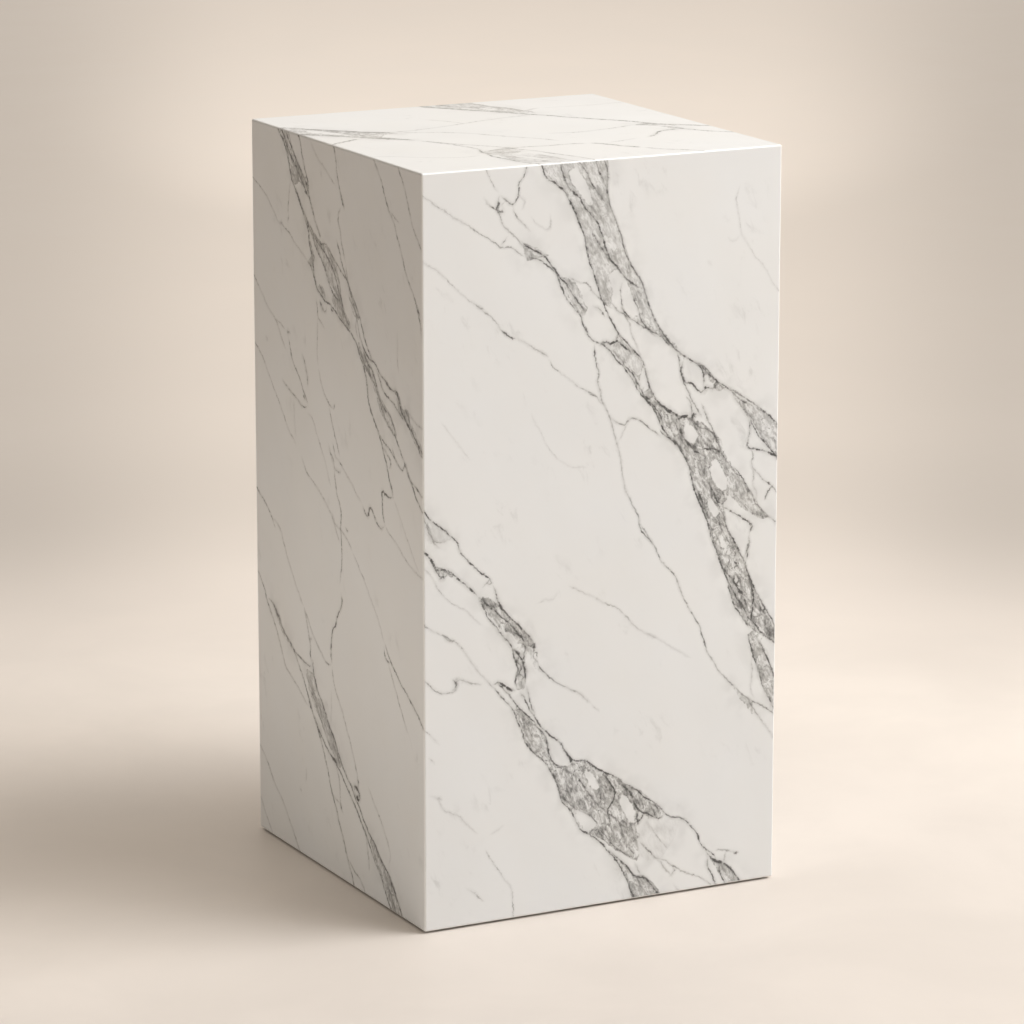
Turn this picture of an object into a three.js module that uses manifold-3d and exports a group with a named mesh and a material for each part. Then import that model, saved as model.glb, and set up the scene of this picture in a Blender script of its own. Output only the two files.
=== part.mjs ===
// A tall square block of white veined marble, sawn and polished from one piece of stone.
// Units are millimetres, +Z is up, and the origin is the middle of the underside.
import * as THREE from "three";
import { mergeVertices } from "three/addons/utils/BufferGeometryUtils.js";
import Module from "manifold-3d";

// Driving dimensions.
const SIDE = 400; // width and depth of the square plan
const HEIGHT = 765; // floor to the polished top
const ARRIS = 2.2; // radius that eases every edge
const ARRIS_STEPS = 3; // flats that make up one eased edge
const GAP_HEIGHT = 2; // the shadow gap round the foot, floor to stone
const GAP_DEPTH = 10; // how far the foot stands in from the faces

// What the stone looks like.
const STONE_COLOUR = 0xe4dfd6;
const STONE_ROUGHNESS = 0.32;
const STONE_METALNESS = 0;

const wasm = await Module();
wasm.setup();

// A square outline, centred on the origin, with a quarter round at each corner.
function roundedSquare(side, radius) {
  const straight = side / 2 - radius;
  const outline = new THREE.Shape();
  outline.absarc(straight, straight, radius, 0, Math.PI / 2);
  outline.absarc(-straight, straight, radius, Math.PI / 2, Math.PI);
  outline.absarc(-straight, -straight, radius, Math.PI, (3 * Math.PI) / 2);
  outline.absarc(straight, -straight, radius, (3 * Math.PI) / 2, 2 * Math.PI);
  outline.closePath();
  return outline;
}

// The block above the shadow gap, with its edges eased all round.
function bodyGeometry() {
  const body = new THREE.ExtrudeGeometry(roundedSquare(SIDE - 2 * ARRIS, ARRIS / 2), {
    depth: HEIGHT - GAP_HEIGHT - 2 * ARRIS,
    curveSegments: ARRIS_STEPS,
    bevelThickness: ARRIS,
    bevelSize: ARRIS,
    bevelSegments: ARRIS_STEPS,
  });
  return body.translate(0, 0, GAP_HEIGHT + ARRIS);
}

// The low foot that the block stands on; it runs up into the body so that the two join.
function footGeometry() {
  const overlap = 2 * ARRIS;
  return new THREE.ExtrudeGeometry(roundedSquare(SIDE - 2 * GAP_DEPTH, ARRIS), {
    depth: GAP_HEIGHT + overlap,
    curveSegments: ARRIS_STEPS,
    bevelEnabled: false,
  });
}

// A closed geometry as a solid that can be joined.
function solidOf(geometry) {
  const positions = geometry.clone();
  positions.deleteAttribute("normal");
  positions.deleteAttribute("uv");
  const merged = mergeVertices(positions, 1e-3);
  return new wasm.Manifold(
    new wasm.Mesh({
      numProp: 3,
      vertProperties: merged.attributes.position.array,
      triVerts: new Uint32Array(merged.index.array),
    }),
  );
}

// A joined solid back as a geometry.
function geometryOf(solid) {
  const mesh = solid.getMesh();
  const geometry = new THREE.BufferGeometry();
  geometry.setAttribute("position", new THREE.BufferAttribute(mesh.vertProperties, 3));
  geometry.setIndex(new THREE.BufferAttribute(mesh.triVerts, 1));
  geometry.computeVertexNormals();
  return geometry;
}

// The one piece of stone: body and foot are a single solid.
function marbleBlock() {
  const stone = solidOf(bodyGeometry()).add(solidOf(footGeometry()));
  const block = new THREE.Mesh(
    geometryOf(stone),
    new THREE.MeshStandardMaterial({
      color: STONE_COLOUR,
      roughness: STONE_ROUGHNESS,
      metalness: STONE_METALNESS,
    }),
  );
  block.name = "marble_block";
  return block;
}

const group = new THREE.Group();
group.add(marbleBlock());

export default group;
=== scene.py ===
import math

import bmesh
import bpy
import numpy as np
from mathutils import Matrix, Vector


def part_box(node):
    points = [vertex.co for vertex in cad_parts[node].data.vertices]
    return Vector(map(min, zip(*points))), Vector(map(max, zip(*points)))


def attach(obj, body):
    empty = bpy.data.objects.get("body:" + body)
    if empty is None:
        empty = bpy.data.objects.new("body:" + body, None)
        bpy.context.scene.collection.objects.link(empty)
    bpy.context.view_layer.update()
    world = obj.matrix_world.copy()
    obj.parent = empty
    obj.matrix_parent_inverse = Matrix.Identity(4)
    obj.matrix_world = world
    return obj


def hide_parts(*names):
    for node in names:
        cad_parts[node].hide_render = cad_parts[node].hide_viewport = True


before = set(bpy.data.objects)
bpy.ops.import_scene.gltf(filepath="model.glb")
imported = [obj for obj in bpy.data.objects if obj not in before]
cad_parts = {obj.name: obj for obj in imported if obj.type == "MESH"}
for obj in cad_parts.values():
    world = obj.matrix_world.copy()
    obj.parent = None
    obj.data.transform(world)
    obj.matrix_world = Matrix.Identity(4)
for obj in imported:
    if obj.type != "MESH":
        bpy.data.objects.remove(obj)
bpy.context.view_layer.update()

bl_info = {
    "name": "Marble block",
    "version": (1, 0, 0),
    "blender": (4, 5, 0),
    "location": "3D View > Sidebar > Marble",
    "description": "A tall square block of polished white marble with grey broken veins",
    "category": "Object",
}

STONE_NODE = "marble_block"
STONE_LOW, STONE_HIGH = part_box(STONE_NODE)
HEIGHT = STONE_HIGH.z - STONE_LOW.z
MM = 0.001

# The veins, drawn on each face in millimetres. Each point is "across,up": how far it lies from the left
# edge of the face as one looks at it, and how far up. The top is drawn as seen from above, with the front
# edge low. A line has its width and darkness, then its path. A band of broken grey stone has its
# darkness, then its outline. A clast is a white piece that floats in a band, and has only its outline.
VEINS = {
    "front": """
line 1.8 0.8 129,765 135,752 148,743 157,734 165,718 171,703 177,690 180,674 185,658 191,643 196,628
  203,612 211,598 217,588 226,578 234,569 241,562 246,550 251,533 257,522 268,509 282,499
line 2.2 0.75 150,765 153,755 159,742 170,730 180,717 189,707 196,692 200,678 206,665 214,656 221,648
  229,640 236,635 243,632
line 1.8 0.7 200,765 203,748 202,733 206,716 213,700 219,685 225,665 233,652 241,641 246,628 251,612
  257,598 268,582 282,566 296,557 310,548 326,533 340,523 352,513 366,502
line 2 0.65 171,765 179,754 186,741 191,733 200,722
line 1.8 0.6 190,765 194,752 199,740 202,728
line 2.4 0.7 183,698 191,685 199,673 206,662
line 1.6 0.7 228,636 233,622 238,610 241,600 250,590 260,582
line 1.7 0.75 217,619 225,607 236,599 248,591 262,583 277,570
line 1.1 0.5 219,640 218,625 221,612 227,600 231,588 236,575 241,563
line 1.5 0.6 203,626 211,617 221,608 232,600
line 3 0.9 84,738 83,730 81,724 87,721 88,727
line 1.8 0.75 84,738 91,733 98,727 104,736 105,748 111,754 114,765
line 1.1 0.35 69,765 77,750 84,740
line 1.3 0.4 104,736 112,731 108,721
line 1.4 0.55 66,737 75,728 83,721 88,708 98,698 107,690 112,681
line 1.3 0.45 98,727 103,714 112,705 118,698
line 2.2 0.8 107,690 113,685 123,680 135,673 142,662 150,652 157,644 165,632 173,621 179,612
line 1.6 0.75 112,673 125,672 137,665 146,655 152,641 158,629 166,619 174,610 177,600 183,589
line 1.2 0.4 158,652 170,645 180,643 189,632 200,622 212,614
line 2.2 0.5 186,621 195,615 201,607
line 1.7 0.8 176,603 183,589 191,583 199,580 207,572 215,563 222,555 231,544 238,532 247,521 256,513
  263,503 268,490
line 2.6 0.9 194,579 201,583 207,579 213,583 221,577 228,572 234,568
line 2.4 0.85 213,583 215,591
line 2.2 0.85 217,565 224,556 231,547 240,533 247,523 257,516
line 2 0.85 246,522 257,509 263,495 273,480 286,466 294,452 299,437 304,421 311,405 318,390 322,374
  329,357 336,340 342,325 347,309 353,293 361,281 370,270
line 1.6 0.6 188,583 190,566 194,551 192,544 196,530 202,513
line 1.3 0.6 200,521 206,506 211,492 215,478 219,462 221,445 225,430 232,415 239,402 241,392 248,381
  256,371 262,360 269,350 278,341 282,337 286,325 292,312 299,298 304,290 311,279 314,268 318,255
  326,243 332,232 341,221 350,213 360,203 372,194 386,186 400,176
line 1.8 0.5 241,393 246,387 252,377 258,368
line 1.5 0.65 206,506 215,500 225,497 228,502 240,500 249,492 258,486 266,479
line 1 0.25 215,480 222,490 228,500
line 1.3 0.45 368,196 377,181 388,166 400,150
line 1.2 0.4 0,743 13,735 30,723 46,713 59,704 73,695 85,687 96,686 104,680 112,673
line 1.6 0.55 85,687 92,696
line 1.2 0.35 0,680 15,670 30,656 45,642 60,630 75,618 84,607 92,599 98,595
line 2 0.65 59,632 67,626
line 1.8 0.75 86,606 92,599 98,595 103,595
line 1.3 0.45 103,595 115,588 128,580 137,573
line 1.7 0.6 127,581 137,573
line 1.2 0.3 137,573 146,560 156,553 168,543 181,535 190,530 199,519
line 1.5 0.5 183,533 191,529
line 1 0.2 118,715 127,705 139,700 139,716
line 1.8 0.7 282,565 286,552 287,541 292,529 299,516 305,505 312,494
line 2.4 0.85 290,557 286,546 292,534 299,532 306,524 313,521 315,527 325,524 328,531
line 2.2 0.8 300,554 309,547 313,537 311,526
line 1.5 0.6 303,553 317,545 322,537 331,527 339,521
line 1.6 0.6 292,521 298,511 300,500 301,490
line 2 0.65 309,511 315,500 320,489 325,478 330,466 336,455
line 3 0.9 258,518 270,509 280,503 285,496 292,500 300,495 301,501 308,497
line 2.8 0.85 285,496 288,482 295,470 303,462 311,458 320,450
line 2 0.7 297,496 307,487 318,483 327,475 331,466
line 2.4 0.8 306,463 318,463 328,461 337,453 340,446
line 2.6 0.85 319,431 324,418 330,408 336,404 341,412
line 2.8 0.8 305,424 311,412 316,400 321,389
line 2.6 0.8 262,489 268,482 276,477 284,471 292,461
line 1.7 0.7 336,403 338,389 343,376 350,363 357,351 362,342 366,330 373,315 381,300 389,286 400,266
line 1.6 0.6 330,395 334,380 341,367 348,355 353,346
line 3 0.9 336,340 342,332 350,322 357,312 363,306 371,306
line 3 0.85 347,346 352,341 357,332
line 2 0.85 343,325 350,312 358,298 366,285 374,276 382,266 391,258 400,250
line 2.2 0.75 366,333 369,320 373,305 372,291 371,280 373,268
line 1.5 0.6 331,404 345,397 357,388 366,382 370,374 366,371
line 1.8 0.65 368,371 368,358 364,350 362,343
line 2.2 0.8 366,384 371,377 368,371
line 2.2 0.8 368,362 365,354 366,346 362,341
line 1.4 0.6 345,444 356,432 366,418 374,404 384,391 400,377
line 1.4 0.5 342,421 352,410 361,400 373,390 388,384
line 2 0.6 344,517 352,508 360,499 366,489 372,477 381,466 390,456 400,443
line 1.8 0.65 339,524 347,520 358,513 370,505 380,497 391,488 400,477
line 2 0.75 366,489 367,478 364,466 365,459 375,457 388,452 400,447
line 1.6 0.5 366,460 371,450 368,442 377,431 388,421 400,409
line 1.4 0.35 368,442 372,430 371,420 376,410 372,402
line 2 0.75 394,418 388,410 385,402
line 1.8 0.75 366,263 371,250 378,230 384,211 392,195 400,180
line 2 0.8 375,262 383,250 390,238 396,223 400,212
line 1.2 0.35 371,240 372,222 371,205 376,196
line 1.6 0.75 0,433 8,423 18,415 27,408 31,402 38,396 40,388 50,377 60,366 72,357 76,350 69,352 64,348
line 1.5 0.55 0,426 6,412 12,402 22,400 30,402
line 1.6 0.5 4,424 8,410 13,398 20,392
line 1.6 0.45 10,420 20,413 28,408
line 2 0.75 101,283 106,276 103,268 108,262 103,256 110,251 106,245 112,241
line 1.8 0.7 113,286 112,276 109,266 113,256 112,246
line 1.8 0.65 113,244 116,232 120,220 124,208
line 2.8 0.9 0,392 8,383 14,372 22,371 30,368 38,360 45,355 53,348 60,340
line 2.2 0.85 10,378 15,369 20,361 25,366 30,368
line 2 0.8 60,340 65,329 70,318 80,306 88,297 97,285 101,272 104,262 101,250 103,239
line 2 0.75 60,340 72,330 84,318 95,308 104,298 110,290
line 1.8 0.8 76,350 80,340 84,328 92,318 103,307 112,298 121,287 124,277 118,282 110,285
line 2.4 0.8 97,300 108,293 111,285 118,278
line 2.8 0.9 97,284 104,277 109,268 112,257 112,245
line 3.2 0.95 104,240 96,240 88,246 80,250 76,246
line 1.4 0.55 118,275 125,265 132,255 140,247 150,240 163,232 172,228 180,220 187,213
line 1.2 0.3 187,213 197,204
line 1.2 0.4 0,318 10,311 20,306 29,299 36,296 45,285 55,270 65,258 73,250 80,243
line 2.8 0.75 20,306 29,299 36,297
line 1.5 0.5 0,260 8,254 18,247 30,245 37,250 34,259 41,258 55,252 65,249
line 3 0.6 30,259 36,254 30,246
line 1 0.3 0,376 10,364 18,350 30,338 48,325 66,309
line 1.8 0.8 76,246 85,235 95,224 102,212 107,200 112,186 120,173 132,163 141,150 147,140 150,128
  156,114 165,105 170,94 176,83 186,78 197,68 207,57 216,45 224,33 230,19 236,6 238,0
line 1.7 0.7 80,250 92,238 101,226 113,214 125,200 137,187
line 1.8 0.8 106,238 113,226 121,211 130,198 141,187 152,178 158,168 166,158 180,156 190,148 202,141
  213,135 226,125 238,118 248,108 258,101 266,96 271,89 280,82 290,80 300,73 309,62 314,50 324,40 333,31
line 2.2 0.85 134,189 137,180 141,165 147,156 155,153
line 2.8 0.85 157,170 163,160 165,155 170,150
line 2 0.6 165,150 175,134 185,119 195,108 206,98 216,89 226,80 236,77
line 1.5 0.6 150,128 158,118 165,110 176,104 190,93 197,84
line 2.4 0.75 200,141 208,130 214,119 213,110 206,100 209,90 208,83
line 2.4 0.85 214,131 222,125 230,118 235,108 240,98 247,92 252,90 258,87 266,84 272,88
line 3.4 0.95 240,96 241,86 242,78
line 2 0.8 248,92 242,83 238,77
line 1.5 0.65 225,66 232,55 240,45
line 1.5 0.65 186,79 195,82 205,72 216,60 228,50 240,43
line 1.3 0.4 236,118 245,114 253,105
line 2.2 0.6 155,117 160,117 166,112 168,101
line 2 0.8 208,58 220,45 229,37 237,27 246,24 254,18 262,8 269,0
line 1.6 0.65 240,22 248,10 256,0
line 1.3 0.5 237,43 243,31 248,24
line 4 0.9 244,24 251,22
line 1.3 0.45 242,65 250,55 262,42 272,38 280,32 288,27 300,20 318,11 330,0
line 1.1 0.3 250,85 258,72 266,62 277,48
line 1.5 0.5 262,42 272,30 282,18
line 2 0.65 282,30 284,24 280,20
line 1.5 0.45 283,12 291,0
line 2.4 0.8 322,36 322,25 328,14 335,0
line 2.6 0.85 320,42 326,33 333,28 343,24 352,15 360,5 363,0
line 1.3 0.5 330,40 345,38 357,34
line 2.6 0.6 354,34 359,34
line 1.3 0.45 344,38 342,27
line 1.8 0.65 336,28 338,14 346,0
line 1.1 0.28 68,80 74,67 82,55 90,43 97,33 98,18 98,0
line 1.3 0.35 5,143 15,138 20,128 30,122 38,117 50,105 60,95
line 2.6 0.4 14,140 19,136
line 1.2 0.22 0,212 10,201 18,192
line 1.6 0.3 6,182 12,174
line 1.4 0.25 45,42 58,33 68,24
line 1.2 0.2 72,92 80,96 88,102
line 1 0.18 125,325 136,328 143,327 150,336
line 1.1 0.3 160,340 180,329 200,318 216,310 228,298 240,285 256,277 270,268 285,258 301,247
line 1.8 0.5 248,280 262,273
line 1.2 0.16 352,728 348,712 351,698 354,680 362,668 371,655 383,640 392,624 400,616
line 1 0.12 338,678 346,671 354,678
line 2.6 0.16 316,655 321,651
line 0.9 0.14 20,520 35,500 52,478
line 0.9 0.12 118,520 140,480 160,462 182,458
band 0.35 128,768 141,748 158,733 167,713 174,697 180,678 186,656 193,638 200,622 207,617 209,632
  205,648 213,655 222,645 231,630 240,612 247,603 254,606 248,624 243,638 234,652 226,664 220,683
  213,702 206,720 203,742 203,768
band 0.4 226,607 236,599 250,590 265,581 280,567 286,566 270,583 258,598 252,612 247,618 240,605
band 0.38 282,566 296,556 311,547 320,540 330,528 338,523 330,520 322,528 314,540 302,549 292,556
band 0.4 108,692 116,687 126,682 138,674 126,673 115,671 110,680
band 0.38 150,653 160,650 168,645 174,634 180,620 180,610 173,611 166,621 158,634 153,645
band 0.34 214,590 222,580 233,570 242,561 247,548 252,530 257,521 249,520 243,532 236,545 226,556
  216,566 208,574
band 0.57 247,522 257,509 264,494 274,480 286,466 295,452 300,436 304,420 311,404 319,388 323,374
  329,357 336,340 342,325 347,308 353,292 361,281 372,270 384,262 400,250 400,264 391,280 382,298
  373,314 367,330 358,350 349,366 342,378 338,392 336,404 342,414 346,424 343,436 339,452 334,470
  324,479 312,490 299,497 284,500 270,508 259,517
band 0.44 338,456 346,442 357,430 366,416 374,402 384,391 392,384 380,384 368,391 356,400 348,409
  341,420 342,436
band 0.42 344,519 352,513 366,505 380,497 391,488 400,477 400,443 390,457 381,467 373,479 367,489
  360,499 352,509
band 0.46 366,266 372,249 378,230 385,210 392,195 400,180 400,214 395,226 390,239 384,251 376,263
band 0.34 350,213 360,204 372,195 374,186 380,178 372,180 366,190 357,199
band 0.1 0,432 10,420 20,412 31,403 24,399 14,402 8,398 0,412
band 0.5 9,379 15,369 20,361 25,366 36,361 30,368 22,372
band 0.5 60,341 72,338 83,329 92,318 105,305 116,294 123,284 124,277 117,271 112,282 104,290 95,299
  85,304 75,315 66,327
band 0.3 97,285 106,281 112,268 113,250 113,240 103,238 99,246 103,262
band 0.2 118,276 127,262 136,251 128,254 118,266
band 0.54 101,223 112,214 124,199 136,188 139,178 140,165 147,155 160,153 170,156 182,155 200,141
  214,133 230,123 241,117 248,107 262,98 270,89 262,83 250,89 242,97 238,82 241,66 244,52 239,42 226,50
  212,60 199,70 187,79 175,84 168,96 163,108 154,117 149,132 142,148 132,162 119,174 111,188 107,202
band 0.5 218,46 228,38 237,27 250,24 258,16 265,7 270,-3 236,-3 231,18 224,33
band 0.46 322,38 334,30 345,23 354,14 363,-3 345,-3 338,13 330,24
band 0.08 240,66 252,84 268,86 290,82 284,60 270,42 250,40 243,50
clast 159,756 168,760 178,746 184,733 187,720 182,719 173,731 164,743
clast 220,640 225,633 232,620 235,606 232,603 224,611 219,624
clast 210,616 216,616 222,606 226,592 222,585 214,594 209,604
clast 243,553 247,545 250,532 246,529 240,540
clast 322,450 328,452 336,440 342,426 342,418 335,417 328,424 322,436
clast 318,416 324,411 331,400 333,394 326,391 319,402
clast 290,495 300,488 308,477 300,468 291,478
clast 331,378 338,366 346,352 342,350 334,362
clast 351,330 356,322 360,314 355,314 349,324
clast 292,548 302,546 309,538 306,528 297,535 291,540
clast 362,480 368,470 376,462 384,458 374,474 366,486
clast 141,185 150,176 157,168 160,160 155,155 148,158 143,168 139,178
clast 169,108 176,104 188,94 194,87 190,82 182,83 175,90 170,99
clast 218,117 226,113 234,102 238,92 236,82 230,84 225,95 219,107
clast 176,150 184,146 192,136 198,122 190,124 182,136
""",
    "left": """
line 2.4 0.85 66,765 75,757 85,747 92,735 97,722 104,711 112,703 120,694 128,684 136,675 140,665 141,656
  146,648 150,638 152,627 158,615 163,606
line 2.6 0.8 75,765 86,753 96,742 104,735 115,728 125,718 134,709 142,702
line 2.4 0.8 86,765 94,755 104,745 114,736 122,729 130,721 138,711 142,704 147,696 153,686 160,676
  167,669
line 2.2 0.7 115,765 121,757 125,747 130,735 137,724 140,712
line 5 0.85 133,718 140,715
line 5 0.75 98,742 103,734
line 1.6 0.6 96,722 106,722 112,712
line 1.8 0.65 106,711 115,701 124,691 131,685 140,677 150,670 160,664 170,661 179,662 190,657 202,648
  212,643 222,637 233,631
line 2.2 0.75 131,686 138,676 147,667 156,656 166,648 175,640 184,629 190,620 200,613 212,608
line 2.4 0.75 150,669 162,660 174,655 184,648 196,640 206,628 212,618 217,608 222,600 230,592 240,587
line 1.8 0.55 180,661 190,651 202,641 210,630 216,618
line 3.6 0.85 163,671 168,667
line 3 0.8 144,651 148,645
line 2 0.75 135,637 142,635 148,630 153,622 160,613 170,607 180,603 190,602 200,598 212,592 225,586
  238,582 250,573 262,562
line 4.5 0.9 164,617 170,613 177,610
line 4.5 0.85 163,603 168,597 175,592
line 3.8 0.9 190,598 197,596
line 1.6 0.55 181,600 178,592 169,596
line 1.4 0.4 158,605 158,592 160,583 168,580 177,574
line 1.3 0.35 159,583 158,560 157,545 160,532
line 1.3 0.4 0,705 20,698 40,688 58,674 65,667 72,667 80,664 90,660 105,652 120,645 137,637
line 3.4 0.75 70,668 75,667
line 1.4 0.35 96,716 92,700 90,685 91,676
line 3 0.8 88,671 91,676
line 1.8 0.5 200,765 206,751 208,740 213,725 219,714 226,703
line 3 0.8 214,723 220,713 226,703
line 1.6 0.3 145,762 155,754 165,745 178,740 190,732 205,725
line 1.6 0.55 218,706 212,700 210,690 215,682 217,672 222,660 227,649
line 2 0.75 205,672 212,661 218,649 226,638 232,630 240,621 250,612 258,602 264,592 270,582 280,570
  289,560
line 1.6 0.6 227,650 229,640 234,628 242,615 250,603 256,590 262,577 272,567 282,562 292,561
line 1.4 0.5 232,620 240,612 252,602 250,590 255,578
line 2 0.65 246,604 256,600 262,602
line 2 0.75 262,577 272,567 282,562 292,561 300,555 310,550 322,545 330,537
line 2.2 0.8 250,575 261,560 270,548 275,535 278,520 285,508 296,498 303,489 310,478 318,462 325,449
  333,437
line 2 0.7 255,571 268,558 280,548 292,539 302,528 308,518 318,508 328,500 340,494 350,482 362,470
  372,458 384,444 400,430
line 2.4 0.75 264,571 276,558 288,551 296,540 306,526 316,518 326,515 334,505 341,496
line 2 0.7 296,556 306,545 312,536 322,532 335,528 348,520 360,515
line 2.4 0.8 312,549 324,543 334,540 342,541 348,533 352,524 360,517
line 2.8 0.85 352,524 365,515 375,508 386,499 400,489
line 2.4 0.75 360,531 368,520 376,509 388,497 397,485
line 1.4 0.45 365,528 378,520 390,516 400,515
line 1.8 0.7 300,492 315,484 330,478 345,468 355,465 362,472 366,463 378,455 390,450 400,446
line 2 0.55 308,480 318,475 326,470 328,462 323,460
line 1.3 0.4 330,485 338,472 344,466
line 2.4 0.8 333,432 322,431 312,434 307,433 308,422 310,410 314,400
line 2.2 0.8 325,448 331,438 334,431
line 2.2 0.75 314,400 308,396 300,396 290,404 284,411 278,411 276,402 268,404 261,411
line 1.6 0.45 261,411 247,420 238,427 225,434 212,442 204,446
line 1.4 0.4 314,400 322,394 330,391 345,384 360,376 375,370 390,366 400,365
line 1.2 0.25 334,432 345,420 360,402 375,385 392,368
line 1.4 0.45 160,532 165,520 172,508 184,500 196,496
line 3.6 0.9 196,496 198,501
line 1.4 0.4 184,498 190,482 198,468 205,458 210,447
line 1.6 0.4 210,446 200,446 195,455 192,462
line 1.8 0.65 185,450 192,445 196,435 210,433 213,438
line 1.6 0.55 196,435 198,420 202,410 208,400 212,390 210,375 212,360 213,345 210,330 206,316
line 2.6 0.35 180,458 186,450 194,438
line 1.6 0.22 130,480 145,475 155,462 168,445 178,430 188,412
line 1.7 0.35 115,432 130,416 148,408 162,402 178,392 190,384
line 1.8 0.45 190,390 196,379 205,375 215,372 228,365 238,356
line 1.6 0.4 186,390 193,378 200,370 208,358
line 3 0.6 222,378 228,375
line 1.4 0.35 238,356 250,346 262,335 275,322 290,308 300,295 311,279
line 2 0.75 311,279 320,268 332,257 345,248 358,240 372,232 384,224 400,211
line 2.4 0.8 310,275 312,266 318,262 327,262
line 1.4 0.4 318,262 330,245 342,228 355,210 366,197
line 1.8 0.35 0,605 12,594 25,583 40,572 52,565 60,560 70,548 80,535
line 1.2 0.28 52,565 68,562 82,556
line 4.6 0.75 83,556 91,556
line 1.8 0.6 86,552 92,538 98,528 108,518 118,508 125,498 134,488
line 3.2 0.5 118,541 127,530 133,518 133,506
line 1.8 0.55 68,505 85,497 100,492 115,486 125,484 134,488
line 2.8 0.6 122,498 128,492
line 1.6 0.32 0,532 12,525 25,515 36,503 50,490 65,475 80,458 92,448 105,440
line 2.4 0.25 30,542 36,537
line 3 0.14 98,490 100,470 103,445
line 2 0.5 0,376 12,370 25,362 38,352 50,340
line 1.8 0.42 40,350 52,347 62,341 67,334 76,320 90,303 102,288 112,276 118,272
line 2 0.6 118,272 124,260 130,245 134,232 133,224 136,214
line 1.8 0.42 118,272 130,258 140,248 152,238 165,230 175,225 186,227
line 2 0.5 128,240 140,242
line 2.6 0.75 186,227 184,240 186,254 190,265 196,270 200,281 208,290 212,299 210,308
line 1.6 0.45 186,225 190,208 200,195 210,182 220,168 230,152 238,138 244,125 247,115 248,106
line 4 0.9 247,119 247,115
line 3.8 0.95 232,107 240,110 248,108 250,100 246,98 240,103 236,106
line 1.8 0.55 0,286 10,278 20,268 26,257 35,247 45,236 55,222 65,205 72,196 85,190 100,182 115,174
  128,168
line 2.4 0.75 26,260 38,259 48,252 58,242 70,232 82,226 95,218 108,215 120,212 132,212 139,213
line 4.4 0.7 36,260 46,254 55,247 63,238
line 2.2 0.7 88,224 100,210 110,200 118,191 125,182 132,172 140,160 150,148 160,134 170,118 180,96
  190,80 200,62 212,42 222,25 232,10 237,0
line 4 0.8 128,178 132,170 137,164
line 2.4 0.8 138,222 142,205 150,190 162,178 172,166 182,155 192,145 202,133 212,122 222,114 232,107
  240,98 250,90 260,80 268,72 280,65 294,54 306,46 318,38 328,28 340,14 352,0
line 1.8 0.55 120,201 135,190 150,178 165,160 180,147 195,135 208,122
line 1.7 0.5 128,189 145,175 158,161 172,145 185,131
line 2.2 0.8 140,163 150,152 162,141 175,132 188,126 198,120 212,110 225,100 238,90 250,80 262,68 275,55
  288,42 300,30 312,15 325,0
line 4.6 0.85 182,129 190,126 198,121
line 1.6 0.3 190,125 200,110 203,95 204,80 212,72
line 1.8 0.4 181,88 192,85 205,82
line 3 0.55 204,84 208,76
line 1.8 0.55 262,76 266,60 270,45 272,28
line 1.8 0.45 222,28 235,20 248,15 258,8 262,0
line 1.8 0.6 288,56 302,46 314,30 326,15 337,0
line 1.8 0.3 270,120 290,100 305,85 316,72 322,60 318,48
line 2 0.4 0,95 20,80 38,62 55,50 68,38 82,24 95,10 102,0
line 1.8 0.28 0,38 15,22 30,5 34,0
line 2.8 0.22 122,100 118,82
line 3.4 0.2 103,73 108,71
line 1.6 0.16 184,200 184,180 182,160
line 1.8 0.5 292,765 300,757 310,745 320,730 328,718 338,708 345,697 355,680 365,662 378,647 390,630
  396,618 400,604
line 2.6 0.7 387,636 396,624
line 1.8 0.28 328,718 340,714 352,710
line 1.6 0.4 348,765 358,752 366,740 374,722 385,705 400,688
line 1.8 0.18 345,602 345,575 348,558
band 0.5 66,768 92,768 101,750 115,736 128,724 140,722 142,704 132,707 118,718 108,711 100,714 94,727
  88,745 77,757
band 0.42 131,685 150,671 170,662 180,662 196,653 206,641 213,628 218,611 226,599 238,589 232,583
  216,591 202,600 192,610 200,614 210,609 200,618 188,624 180,636 170,644 158,655 146,667
band 0.34 136,637 150,632 153,645 146,655 141,665 136,676 132,684 136,668 140,655 146,645
band 0.34 228,641 240,623 256,606 262,596 256,597 246,600 238,610 232,621
band 0.42 256,575 270,566 284,557 294,545 304,529 318,521 328,515 340,504 342,493 330,497 316,506
  304,515 296,529 284,542 270,552 260,562
band 0.4 334,542 346,541 356,526 368,527 380,511 400,496 400,484 384,495 368,511 352,518 344,528
band 0.34 160,619 170,619 180,610 176,604 166,606
band 0.44 122,206 140,206 150,191 165,178 180,161 195,144 210,125 200,121 186,132 170,145 155,160
  142,172 128,186
band 0.46 268,70 285,63 300,51 320,39 335,23 352,-3 326,-3 312,17 298,34 284,49
band 0.3 38,260 50,254 62,240 80,228 96,219 84,221 66,230 52,240
clast 152,650 162,645 172,634 180,622 184,612 176,614 166,622 158,632
clast 280,527 288,532 296,522 298,508 290,506 282,516
clast 146,198 152,196 158,184 152,182
""",
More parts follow.
